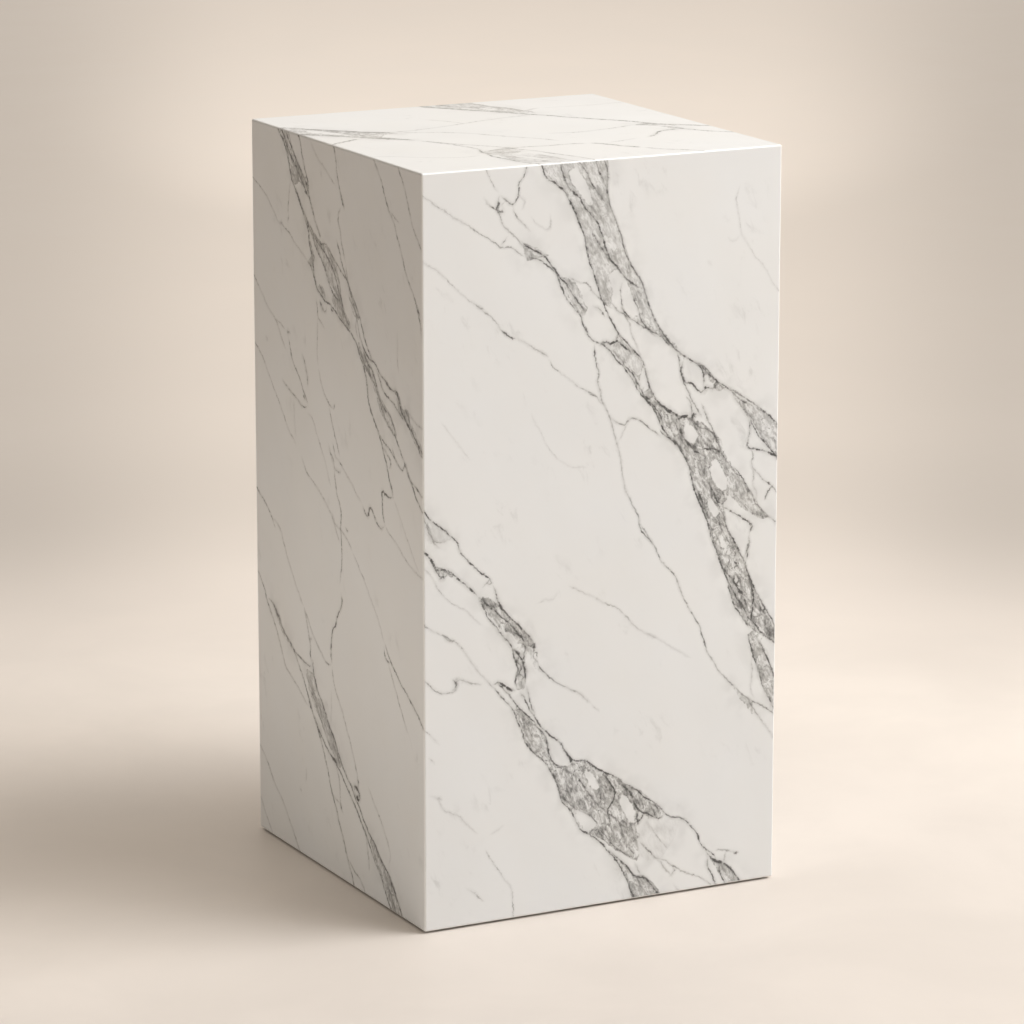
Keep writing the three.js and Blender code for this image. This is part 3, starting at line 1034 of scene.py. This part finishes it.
# A vein line, with lengths in millimetres. Pairs are for weak and strong grain, or from and to.
LINE_GRAIN = (0.36, 0.68)
LINE_HALF = (0.08, 0.52)  # half of the dark core, as a share of the line's width
LINE_CORE_EDGE = (0.45, 0.6)  # how far the core's edge fades, inwards and outwards
LINE_HALO = (1.2, 1.6)  # reach of the soft grey edge: a share of the width, and a length
LINE_HALO_GREY = 0.20
LINE_DEPTH = (0.25, 1.45)
LINE_PRESENCE = (0.40, 0.60)
LINE_LEAST = (0.28, 0.85)  # how much of a faint and of a strong line always shows


def vein_line_group():
    """One strand of vein: a dark line of uneven width with a soft grey edge, over what is there."""
    group, w, given, result = new_group(
        "Vein line",
        (
            ("Strand", "NodeSocketVector"),
            ("Wobble", "NodeSocketFloat"),
            ("Grain", "NodeSocketFloat"),
            ("Presence", "NodeSocketFloat"),
            ("So Far", "NodeSocketFloat"),
        ),
        ("Darkness",),
    )
    distance, strength, width = w.split(given.outputs["Strand"])
    off_line = w.math("ABSOLUTE", w.math("ADD", distance, given.outputs["Wobble"]))
    grain = given.outputs["Grain"]
    half = w.math("MULTIPLY", width, w.ramp(grain, *LINE_GRAIN, *LINE_HALF, smooth=False))
    inner = w.math("SUBTRACT", half, LINE_CORE_EDGE[0])
    outer = w.math("ADD", half, LINE_CORE_EDGE[1])
    core = w.ramp(off_line, inner, outer, 1.0, 0.0)
    soft = w.ramp(off_line, 0.0, w.math("MULTIPLY_ADD", width, *LINE_HALO), 1.0, 0.0)
    depth = w.ramp(grain, 0.36, 0.64, *LINE_DEPTH, smooth=False)
    least = w.ramp(strength, 0.3, 0.85, *LINE_LEAST)
    here = w.math("MAXIMUM", w.ramp(given.outputs["Presence"], *LINE_PRESENCE, 0.0, 1.15), least)
    core = w.math("MULTIPLY", w.math("MULTIPLY", core, depth), here)
    faint = w.math("MULTIPLY", w.math("POWER", strength, 0.6), LINE_HALO_GREY)
    line = w.math("MULTIPLY_ADD", core, strength, w.math("MULTIPLY", soft, faint))
    line = w.math("MINIMUM", line, 1.0)
    room = w.math("SUBTRACT", 1.0, given.outputs["So Far"])
    joined = w.math("MULTIPLY_ADD", line, room, given.outputs["So Far"])
    w.join(joined, result.inputs["Darkness"])
    return group


# Broken stone, with sizes in millimetres.
CHIP_SIZE = 6.0
SMALL_CHIP_SIZE = 3.0
CHIP_SHOVE = 3.0  # how far noise pushes the chips out of shape
CHIP_GREY = (0.08, 0.42)  # the palest and the darkest chip
STREAK_GREY = (-0.24, 0.30)
GRIT_GREY = (-0.05, 0.05)
PATCH_SHARE = (0.75, 1.2)
SEAM = (0.11, 0.85)  # how far a dark seam reaches into a chip, in chips, and how dark it is
SMALL_SEAM = (0.15, 0.28)


def broken_stone_group():
    """Broken stone as it shows in a band: long chips of paler and darker grey with dark seams."""
    group, w, given, result = new_group(
        "Broken stone",
        (("Place", "NodeSocketVector"), ("Stretched", "NodeSocketVector")),
        ("Body", "Seams", "Patch"),
    )
    place = given.outputs["Place"]
    stretched = given.outputs["Stretched"]
    shoved = w.vector_math("ADD", stretched, w.shake(stretched, 7.0, 2.0, 0.5, CHIP_SHOVE))
    chip = w.node("ShaderNodeTexVoronoi", feature="F1")
    seam = w.node("ShaderNodeTexVoronoi", feature="DISTANCE_TO_EDGE")
    small_seam = w.node("ShaderNodeTexVoronoi", feature="DISTANCE_TO_EDGE")
    for cells, size in ((chip, CHIP_SIZE), (seam, CHIP_SIZE), (small_seam, SMALL_CHIP_SIZE)):
        w.join(shoved, cells.inputs["Vector"])
        w.join(1 / size, cells.inputs["Scale"])
    tone = w.split(chip.outputs["Color"])[0]
    streak, _ = w.noise(shoved, 3.0, 4.0, 0.62)
    grit, _ = w.noise(place, 2.6, 3.0, 0.7)
    patch, _ = w.noise(place, 22.0, 2.0, 0.5)
    body = w.math("ADD", w.ramp(tone, 0.0, 1.0, *CHIP_GREY), w.ramp(streak, 0.3, 0.7, *STREAK_GREY))
    body = w.math("ADD", body, w.ramp(grit, 0.3, 0.7, *GRIT_GREY))
    body = w.math("MULTIPLY", body, w.ramp(patch, 0.36, 0.62, *PATCH_SHARE), clamp=True)
    dark = w.ramp(seam.outputs["Distance"], 0.0, *SEAM, 0.0)
    dark = w.math("MULTIPLY", dark, w.ramp(grit, 0.40, 0.62))
    faint = w.ramp(small_seam.outputs["Distance"], 0.0, *SMALL_SEAM, 0.0)
    faint = w.math("MULTIPLY", faint, w.ramp(streak, 0.42, 0.60))
    w.join(body, result.inputs["Body"])
    w.join(w.math("MAXIMUM", dark, faint), result.inputs["Seams"])
    w.join(patch, result.inputs["Patch"])
    return group


BAND_STRENGTH = 2.1  # darkness of a band's fill for each unit of its drawn darkness
SMOKE = (24.0, 0.10)  # how far the smoky white reaches beside a band, and how grey it gets
RIM_DARKNESS = 0.5


def band_group(stone_group):
    """A band of broken stone: its fill, a dark seam along its edge and the smoky white beside it."""
    group, w, given, result = new_group(
        "Broken band",
        (
            ("Band", "NodeSocketVector"),
            ("Place", "NodeSocketVector"),
            ("Stretched", "NodeSocketVector"),
            ("Wobble", "NodeSocketFloat"),
            ("Grain", "NodeSocketFloat"),
        ),
        ("Fill", "Rim", "Smoke"),
    )
    depth, _, tone = w.split(given.outputs["Band"])
    place, stretched = given.outputs["Place"], given.outputs["Stretched"]
    stone = place_group(w, stone_group, Place=place, Stretched=stretched)
    edge = w.math("ADD", depth, given.outputs["Wobble"])
    inside = w.ramp(edge, -0.6, 1.0)
    fill = w.math("MULTIPLY", stone["Body"], w.math("MULTIPLY", tone, BAND_STRENGTH))
    fill = w.math("MAXIMUM", fill, w.math("MULTIPLY", stone["Seams"], w.ramp(tone, 0.15, 0.6)))
    fill = w.math("MULTIPLY", fill, inside, clamp=True)
    rim = w.ramp(w.math("ABSOLUTE", w.math("SUBTRACT", edge, 0.5)), 0.2, 1.2, RIM_DARKNESS, 0.0)
    rim = w.math("MULTIPLY", rim, w.ramp(given.outputs["Grain"], 0.46, 0.62))
    smoke = w.ramp(edge, -SMOKE[0], 1.0, 0.0, SMOKE[1])
    smoke = w.math("MULTIPLY", smoke, w.ramp(stone["Patch"], 0.38, 0.66))
    w.join(fill, result.inputs["Fill"])
    w.join(w.math("MULTIPLY", rim, w.ramp(tone, 0.0, 0.5)), result.inputs["Rim"])
    w.join(smoke, result.inputs["Smoke"])
    return group


# The sizes of the patches in the white ground, in millimetres.
CLOUD_SIZE = 70.0
FEATHER_SIZE = 11.0
WISP_PATCH_SIZE = 55.0
WARM_PATCH_SIZE = 80.0
WISP_GREY = 0.20


def ground_group():
    """The white stone between the veins: pale clouds, faint feathery wisps and warm patches."""
    group, w, given, result = new_group(
        "Stone ground",
        (("Place", "NodeSocketVector"), ("Stretched", "NodeSocketVector")),
        ("Wisps", "Cloud", "Warmth"),
    )
    place = given.outputs["Place"]
    stretched = given.outputs["Stretched"]
    cloud, _ = w.noise(stretched, CLOUD_SIZE, 2.0, 0.45)
    feather, _ = w.noise(stretched, FEATHER_SIZE, 4.0, 0.6, 0.4)
    where, _ = w.noise(place, WISP_PATCH_SIZE, 2.0)
    warmth, _ = w.noise(place, WARM_PATCH_SIZE, 2.0, 0.45)
    wisps = w.math("MULTIPLY", w.ramp(feather, 0.52, 0.80), w.ramp(where, 0.50, 0.72, 0.0, WISP_GREY))
    w.join(wisps, result.inputs["Wisps"])
    w.join(w.ramp(cloud, 0.25, 0.75, smooth=False), result.inputs["Cloud"])
    w.join(w.ramp(warmth, 0.3, 0.7, smooth=False), result.inputs["Warmth"])
    return group


def place_group(w, group, **inputs):
    """Adds a node group to a tree with its inputs joined, and gives its outputs."""
    made = w.node("ShaderNodeGroup", node_tree=group)
    for name, source in inputs.items():
        w.join(source, made.inputs[name.replace("_", " ")])
    return made.outputs


POLISH = 0.28  # roughness of the polished faces
STONE_IOR = 1.5
GROUND_STRETCH = 5.5  # how much longer than wide the patterns of the ground come out along the veins
BAND_STRETCH = 8.0  # and those of the broken stone in the bands
CLOUD_GREY = 0.035
ARRIS_HIGHLIGHT_SHARE = 0.75  # how much of the painted highlight along the eased edges shows
# The shakes that make the drawn lines uneven: patch size, detail, roughness and amount, in millimetres.
SHAKES = ((18.0, 3.0, 0.55, 5.0), (4.0, 3.0, 0.62, 3.0), (1.7, 2.0, 0.6, 1.5))


def marble_material(colours):
    """Polished marble: the drawn veins and bands over a pale clouded ground."""
    material = bpy.data.materials.new("polished_marble")
    material.use_nodes = True
    tree = material.node_tree
    tree.nodes.clear()
    w = Wiring(tree)
    place = w.scaled(w.node("ShaderNodeTexCoord").outputs["Object"], 1 / MM)
    squeeze = along_group()
    stretched = place_group(w, squeeze, Place=place, Stretch=GROUND_STRETCH)["Stretched"]
    long_drawn = place_group(w, squeeze, Place=place, Stretch=BAND_STRETCH)["Stretched"]

    coarse, fine, jag = [w.shake(place, *shake) for shake in SHAKES]
    wobble = w.split(w.vector_math("ADD", w.vector_math("ADD", coarse, fine), jag))
    grains = w.split(w.noise(place, 6.0, 4.0, 0.70)[1])
    presences = w.split(w.noise(place, 22.0, 2.0, 0.5)[1])

    line_group = vein_line_group()
    ground = place_group(w, ground_group(), Place=place, Stretched=stretched)
    darkness = ground["Wisps"]
    for number in range(STRANDS):
        darkness = place_group(
            w,
            line_group,
            Strand=w.attribute(f"strand_{number:02d}"),
            Wobble=wobble[number % 3],
            Grain=grains[(number + number // 3) % 3],
            Presence=presences[(number + number // 9) % 3],
            So_Far=darkness,
        )["Darkness"]

    band = place_group(
        w,
        band_group(broken_stone_group()),
        Band=w.attribute("band"),
        Place=place,
        Stretched=long_drawn,
        Wobble=wobble[1],
        Grain=grains[2],
    )
    for layer in ("Fill", "Rim", "Smoke"):
        room = w.math("SUBTRACT", 1.0, darkness)
        darkness = w.math("MULTIPLY_ADD", band[layer], room, darkness)
    cloud = w.math("MULTIPLY", ground["Cloud"], CLOUD_GREY)
    darkness = w.math("ADD", darkness, cloud, clamp=True)

    tones = w.node("ShaderNodeValToRGB")
    stops = tones.color_ramp.elements
    stops[0].color = (*colours.ground, 1)
    stops[1].color = (*colours.darkest, 1)
    middle = stops.new(0.5)
    middle.color = (*colours.vein, 1)
    w.join(darkness, tones.inputs[0])
    warm_share = w.math("MULTIPLY", ground["Warmth"], w.ramp(darkness, 0.05, 0.5, 0.25, 0.6))
    colour = w.mix_colour(warm_share, tones.outputs[0], (*colours.warmth, 1), blend="MULTIPLY")

    # Painted highlight: the eased edges are painted a paler white that stands in for the light they
    # catch.
    arris = w.ramp(w.attribute("arris", "Fac"), 0.0, 0.5)
    colour = w.mix_colour(w.math("MULTIPLY", arris, ARRIS_HIGHLIGHT_SHARE), colour, (*colours.arris, 1))

    shader = w.node("ShaderNodeBsdfPrincipled")
    shader.inputs["IOR"].default_value = STONE_IOR
    w.join(colour, shader.inputs["Base Color"])
    shader.inputs["Roughness"].default_value = POLISH
    end = w.node("ShaderNodeOutputMaterial")
    w.join(shader.outputs[0], end.inputs["Surface"])
    return material


# ----------------------------------------------------------------------------------------------------
# What a user can change


class MarbleSizes(bpy.types.PropertyGroup):
    """The block's sizes beside those that come from the frame"""

    arris: bpy.props.FloatProperty(
        name="Arris", description="Radius that eases every edge", default=2.2 * MM, unit="LENGTH"
    )
    gap_height: bpy.props.FloatProperty(
        name="Gap height",
        description="Height of the shadow gap round the foot",
        default=2.0 * MM,
        unit="LENGTH",
    )
    gap_depth: bpy.props.FloatProperty(
        name="Gap depth",
        description="How far the foot stands in from the faces",
        default=10.0 * MM,
        unit="LENGTH",
    )
    spacing: bpy.props.FloatProperty(
        name="Mesh spacing",
        description="Width of one mesh square on a face",
        default=4.2 * MM,
        unit="LENGTH",
    )


class MarbleColours(bpy.types.PropertyGroup):
    """The stone's colours"""

    ground: bpy.props.FloatVectorProperty(
        name="Ground",
        description="The white of the stone",
        subtype="COLOR",
        default=(0.848, 0.86, 0.862),
    )
    vein: bpy.props.FloatVectorProperty(
        name="Vein",
        description="Grey of a vein of middling strength",
        subtype="COLOR",
        default=(0.442, 0.446, 0.444),
    )
    darkest: bpy.props.FloatVectorProperty(
        name="Darkest",
        description="Where veins cross and pool",
        subtype="COLOR",
        default=(0.085, 0.085, 0.084),
    )
    # The colour of the painted highlight along the eased edges, standing in for the light they catch.
    arris: bpy.props.FloatVectorProperty(
        name="Arris",
        description="The paler white of the eased edges",
        subtype="COLOR",
        default=(0.95, 0.945, 0.93),
    )
    warmth: bpy.props.FloatVectorProperty(
        name="Warmth",
        description="Faint tan that some of the stone takes",
        subtype="COLOR",
        default=(1.0, 0.97, 0.92),
    )


class MarbleStage(bpy.types.PropertyGroup):
    """The floor, the lights and the camera"""

    floor: bpy.props.FloatVectorProperty(
        name="Floor",
        description="Colour of the floor",
        subtype="COLOR",
        default=(0.905, 0.832, 0.764),
    )
    sky: bpy.props.FloatVectorProperty(
        name="Surroundings",
        description="Colour of the light from all round",
        subtype="COLOR",
        default=(1.0, 0.905, 0.795),
    )
    sky_strength: bpy.props.FloatProperty(
        name="Surroundings strength",
        description="How bright the light from all round is",
        default=0.10,
    )
    overhead_strength: bpy.props.FloatProperty(
        name="Overhead", description="How bright the surroundings are straight above", default=0.97
    )
    backdrop: bpy.props.FloatVectorProperty(
        name="Backdrop",
        description="Colour seen past the far edge of the floor",
        subtype="COLOR",
        default=(0.60, 0.535, 0.465),
    )
    key_strength: bpy.props.FloatProperty(
        name="Key light", description="Strength of the broad soft light from the right", default=1.63
    )
    screen_strength: bpy.props.FloatProperty(
        name="Screen", description="Brightness of the white screen behind the block", default=0.76
    )
    key_spread: bpy.props.FloatProperty(
        name="Key spread",
        description="How wide the soft light looks from the block",
        subtype="ANGLE",
        default=math.radians(52),
    )
    key_turn: bpy.props.FloatProperty(
        name="Key turn",
        description="Direction of the key light, round from the front",
        subtype="ANGLE",
        default=math.radians(57),
    )
    key_rise: bpy.props.FloatProperty(
        name="Key rise",
        description="Height angle of the key light",
        subtype="ANGLE",
        default=math.radians(43),
    )
    near_power: bpy.props.FloatProperty(
        name="Near light",
        description="Power of the soft box that stands nearer on the same side",
        default=35.5,
        unit="POWER",
    )
    low_power: bpy.props.FloatProperty(
        name="Low light",
        description="Power of the small fill light low on the left",
        default=3.5,
        unit="POWER",
    )
    glow_power: bpy.props.FloatProperty(
        name="Glow light",
        description="Power of the spot that lights the floor far behind",
        default=450.0,
        unit="POWER",
    )
    view_turn: bpy.props.FloatProperty(
        name="View turn",
        description="Direction of the camera, round from the front",
        subtype="ANGLE",
        default=math.radians(-27.13),
    )
    view_rise: bpy.props.FloatProperty(
        name="View rise",
        description="Height angle of the camera",
        subtype="ANGLE",
        default=math.radians(13.33),
    )
    lens: bpy.props.FloatProperty(
        name="Lens", description="Focal length of the camera in millimetres", default=163.6
    )


VIEW_AIM = 0.4815  # height of the point that the camera looks at, as a share of the block's height
VIEW_DISTANCE = 6.287  # how far the camera stands back, in heights of the block

# The lights, in metres and degrees.
KEY_DISTANCE = 2.6
KEY_COLOUR = (0.985, 0.99, 1.0)
NEAR_SIZE = 1.6
LOW_PLACE = (-0.9, -0.1, 0.26)
LOW_TARGET = (-0.2, -0.03, 0.14)
LOW_COLOUR = (1.0, 0.95, 0.88)
LOW_SIZE = 0.12
LOW_CONE = 88
GLOW_COLOUR = (1.0, 0.97, 0.93)
GLOW_HEIGHT = 3.0
GLOW_FAR = 5.2  # how far behind the block the glow falls
GLOW_CONE = 20

# The light from all round. Pairs are the parts of a direction between which the light changes.
OVERHEAD = (0.4, 1.0)  # how far up it points, from the plain surroundings to straight above
SCREEN_EDGE = (0.86, 0.97)  # how nearly it points away from the camera, from beside the screen to on it
LEFT_SIDE = (-0.6, -0.15)  # how far to the right it points, from the dim side to the rest
DARK_SIDE = 0.45  # how much of the sky's light comes from the left

FLOOR_RADIUS = 60.0
# The floor's painted light and shade: how its colour is shaded at each distance from the middle of the
# painted pool of light round the block.
FLOOR_PAINTED_SHADES = (
    (0.0, (0.83, 0.83, 0.83)),
    (0.6, (0.83, 0.83, 0.83)),
    (0.95, (0.96, 0.96, 0.955)),
    (1.4, (0.97, 0.965, 0.96)),
    (1.95, (0.87, 0.865, 0.855)),
    (2.6, (0.96, 0.955, 0.945)),
    (3.5, (1.0, 0.995, 0.985)),
    (12.0, (1.0, 1.0, 1.0)),
)
POOL_FORWARD = 0.3  # how far the middle of the painted pool of light stands in front of the block's
FLOOR_CLOUD = (0.28, 5.0, 0.6, 0.4)  # size, detail, roughness and distortion of the floor's wear
FLOOR_WEAR = 0.065  # how much darker the worn floor is
FLOOR_ROUGHNESS = (0.42, 0.52)
FLOOR_SHINE = 0.3

# The painted lane of light: the floor's colour dims beside a lane that widens as it runs back behind the
# block.
LANE_START = 4.7  # it widens from a point this far in front of the block
LANE_SIDES = (0.05, 0.115)  # where the floor beside it dims, as a share of the way from that point
LANE_OUTER = (0.16, 0.4, 1.0, 0.3)  # where it brightens again further out, and how dim it was and is
LANE_BEGINS = (0.3, 1.5)  # how far behind the block the lane comes in, in metres
LANE_ENDS = (8.0, 15.0)  # and how far behind it fades away
LANE_EDGE = 0.73  # how bright the floor is beside the lane


def direction(turn, rise):
    """A unit vector from the block, turned round from its front towards its right side, and raised."""
    return Vector((math.sin(turn) * math.cos(rise), -math.cos(turn) * math.cos(rise), math.sin(rise)))


def aim(thing, target):
    """Turns a light or a camera to look at a point."""
    thing.rotation_euler = (Vector(target) - thing.location).to_track_quat("-Z", "Y").to_euler()


def lamp(kind, name, place, target, colour, power):
    """A light that the camera doesn't see, aimed at a point."""
    light = bpy.data.lights.new(name, kind)
    light.energy = power
    light.color = colour
    thing = bpy.data.objects.new(name, light)
    bpy.context.collection.objects.link(thing)
    thing.location = place
    thing.visible_camera = False
    aim(thing, target)
    return light


def painted_lane_light(w, place, behind):
    """How bright the painted lane of light leaves the floor's colour, across the lane behind the block.
    """
    lengths = [w.dot(place, way) for way in (behind, behind.cross(Vector((0, 0, 1))))]
    ahead = w.math("ADD", lengths[0], LANE_START)
    across = w.math("DIVIDE", w.math("ABSOLUTE", lengths[1]), ahead)
    lane = w.math("MULTIPLY", w.ramp(across, *LANE_SIDES), w.ramp(across, *LANE_OUTER))
    begins = [LANE_START + far for far in LANE_BEGINS]
    ends = [LANE_START + far for far in LANE_ENDS]
    dimming = w.ramp(ahead, *begins, 0.0, 1.0 - LANE_EDGE)
    end = w.ramp(ahead, *ends, 1.0, 0.0)
    return w.math("SUBTRACT", 1.0, w.math("MULTIPLY", w.math("MULTIPLY", lane, dimming), end))


def floor_material(colour, behind):
    """A pale floor with the faint cloudy wear of a smooth screed, and painted light: a painted pool
    brightest round the block, and a painted lane of light behind it.
    """
    material = bpy.data.materials.new("pale_floor")
    material.use_nodes = True
    tree = material.node_tree
    tree.nodes.clear()
    w = Wiring(tree)
    place = w.node("ShaderNodeTexCoord").outputs["Object"]
    cloud, _ = w.noise(place, *FLOOR_CLOUD)
    away = w.node("ShaderNodeVectorMath", operation="LENGTH")
    w.join(w.vector_math("ADD", place, POOL_FORWARD * behind), away.inputs[0])
    distance = away.outputs["Value"]
    wear = w.ramp(cloud, 0.3, 0.7, FLOOR_WEAR, 0.0)
    wear = w.math("MULTIPLY", wear, w.ramp(distance, 0.9, 1.8, 1.0, 0.25))
    tone = w.node("ShaderNodeValToRGB")
    tone.color_ramp.interpolation = "EASE"
    reach = FLOOR_PAINTED_SHADES[-1][0]
    stops = tone.color_ramp.elements
    stops[0].color = (*FLOOR_PAINTED_SHADES[0][1], 1)
    stops[1].color = (*FLOOR_PAINTED_SHADES[-1][1], 1)
    for along, shade in FLOOR_PAINTED_SHADES[1:-1]:
        stops.new(along / reach).color = (*shade, 1)
    w.join(w.math("DIVIDE", distance, reach), tone.inputs[0])
    # Paints the pool of light and shade into the floor's colour, by distance from the pool's middle.
    shade = w.mix_colour(1.0, (*colour, 1), tone.outputs[0], blend="MULTIPLY")
    shade = w.mix_colour(wear, shade, (0, 0, 0, 1))
    # Paints the lane of light: the floor's colour is dimmed beside the lane.
    shade = w.mix_colour(painted_lane_light(w, place, behind), (0, 0, 0, 1), shade)
    shader = w.node("ShaderNodeBsdfPrincipled")
    shader.inputs["Specular IOR Level"].default_value = FLOOR_SHINE
    w.join(shade, shader.inputs["Base Color"])
    w.join(w.ramp(cloud, 0.3, 0.7, *FLOOR_ROUGHNESS), shader.inputs["Roughness"])
    end = w.node("ShaderNodeOutputMaterial")
    w.join(shader.outputs[0], end.inputs["Surface"])
    return material


def light_surroundings(stage):
    """Light from all round, a bright screen behind the block, and a plain backdrop past the floor."""
    world = bpy.data.worlds.new("studio")
    bpy.context.scene.world = world
    world.use_nodes = True
    tree = world.node_tree
    tree.nodes.clear()
    w = Wiring(tree)
    shades = []
    for shade in (stage.sky, stage.backdrop):
        background = w.node("ShaderNodeBackground")
        background.inputs["Color"].default_value = (*shade, 1)
        shades.append(background)
    way = w.node("ShaderNodeTexCoord").outputs["Generated"]
    toward = w.dot(way, -direction(stage.view_turn, -stage.view_rise))
    screen = w.ramp(toward, *SCREEN_EDGE, 0.0, stage.screen_strength)
    rightward, _, upward = w.split(way)
    sky = w.ramp(upward, *OVERHEAD, stage.sky_strength, stage.overhead_strength)
    sky = w.math("MULTIPLY", sky, w.ramp(rightward, *LEFT_SIDE, DARK_SIDE, 1.0))
    w.join(w.math("MAXIMUM", sky, screen), shades[0].inputs["Strength"])
    seen = w.node("ShaderNodeMixShader")
    w.join(w.node("ShaderNodeLightPath").outputs["Is Camera Ray"], seen.inputs[0])
    w.join(shades[0].outputs[0], seen.inputs[1])
    w.join(shades[1].outputs[0], seen.inputs[2])
    w.join(seen.outputs[0], w.node("ShaderNodeOutputWorld").inputs["Surface"])


# ----------------------------------------------------------------------------------------------------
# Operators, panel and registration


class MARBLE_OT_block(bpy.types.Operator):
    """Cut, ease and polish the block of marble"""

    bl_idname = "marble.block"
    bl_label = "Marble block"

    def execute(self, context):
        sizes = context.scene.marble_sizes
        low = np.array(STONE_LOW)
        high = np.array(STONE_HIGH)
        low[2] += sizes.gap_height
        lines = [lattice_lines(low[axis], high[axis], sizes.arris, sizes.spacing) for axis in range(3)]
        mesh = shell_mesh(lines, "polished_block")
        outward = ease_edges(mesh, low, high, sizes.arris)
        add_foot(mesh, sizes.gap_depth - sizes.arris, sizes.gap_height)
        mark_veins(mesh)
        mark_arris(mesh, outward)
        set_normals(mesh, len(outward), outward)
        block = bpy.data.objects.new("polished_block", mesh)
        context.collection.objects.link(block)
        mesh.materials.append(marble_material(context.scene.marble_colours))
        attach(block, "root")
        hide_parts(STONE_NODE)
        return {"FINISHED"}


class MARBLE_OT_stage(bpy.types.Operator):
    """Lay the floor and set the lights and the camera"""

    bl_idname = "marble.stage"
    bl_label = "Floor, lights and camera"

    def execute(self, context):
        stage = context.scene.marble_stage
        bpy.ops.mesh.primitive_circle_add(vertices=128, radius=FLOOR_RADIUS, fill_type="NGON")
        floor = context.active_object
        floor.name = "floor"
        behind = -direction(stage.view_turn, 0)
        floor.data.materials.append(floor_material(stage.floor, behind))

        light_surroundings(stage)
        middle = Vector((0, 0, HEIGHT / 2))
        key_place = middle + KEY_DISTANCE * direction(stage.key_turn, stage.key_rise)
        key = lamp("SUN", "key_light", key_place, middle, KEY_COLOUR, stage.key_strength)
        key.angle = stage.key_spread
        near = lamp("AREA", "near_light", key_place, middle, KEY_COLOUR, stage.near_power)
        near.size = NEAR_SIZE
        low = lamp("SPOT", "low_light", LOW_PLACE, LOW_TARGET, LOW_COLOUR, stage.low_power)
        low.shadow_soft_size = LOW_SIZE
        low.spot_size = math.radians(LOW_CONE)
        low.spot_blend = 1.0
        glow_place = (0, 0, GLOW_HEIGHT)
        glow_target = GLOW_FAR * behind
        glow = lamp("SPOT", "glow_light", glow_place, glow_target, GLOW_COLOUR, stage.glow_power)
        glow.spot_size = math.radians(GLOW_CONE)
        glow.spot_blend = 1.0

        camera = bpy.data.objects.new("camera", bpy.data.cameras.new("camera"))
        context.collection.objects.link(camera)
        camera.data.lens = stage.lens
        target = Vector((0, 0, VIEW_AIM * HEIGHT))
        camera.location = target + VIEW_DISTANCE * HEIGHT * direction(stage.view_turn, stage.view_rise)
        aim(camera, target)
        context.scene.camera = camera
        context.scene.view_settings.view_transform = "Standard"
        return {"FINISHED"}


class MARBLE_PT_panel(bpy.types.Panel):
    """Lists what makes the block and its stage"""

    bl_idname = "MARBLE_PT_panel"
    bl_label = "Marble block"
    bl_space_type = "VIEW_3D"
    bl_region_type = "UI"
    bl_category = "Marble"

    def draw(self, context):
        for group, operator in (
            (context.scene.marble_sizes, None),
            (context.scene.marble_colours, MARBLE_OT_block),
            (context.scene.marble_stage, MARBLE_OT_stage),
        ):
            box = self.layout.box()
            for name in group.__annotations__:
                box.prop(group, name)
            if operator:
                box.operator(operator.bl_idname)


CLASSES = (MarbleSizes, MarbleColours, MarbleStage, MARBLE_OT_block, MARBLE_OT_stage, MARBLE_PT_panel)


def register():
    for made in CLASSES:
        bpy.utils.register_class(made)
    bpy.types.Scene.marble_sizes = bpy.props.PointerProperty(type=MarbleSizes)
    bpy.types.Scene.marble_colours = bpy.props.PointerProperty(type=MarbleColours)
    bpy.types.Scene.marble_stage = bpy.props.PointerProperty(type=MarbleStage)


def unregister():
    del bpy.types.Scene.marble_stage
    del bpy.types.Scene.marble_colours
    del bpy.types.Scene.marble_sizes
    for made in reversed(CLASSES):
        bpy.utils.unregister_class(made)


def main():
    register()
    bpy.ops.marble.block()
    bpy.ops.marble.stage()


if __name__ == "__main__":
    main()
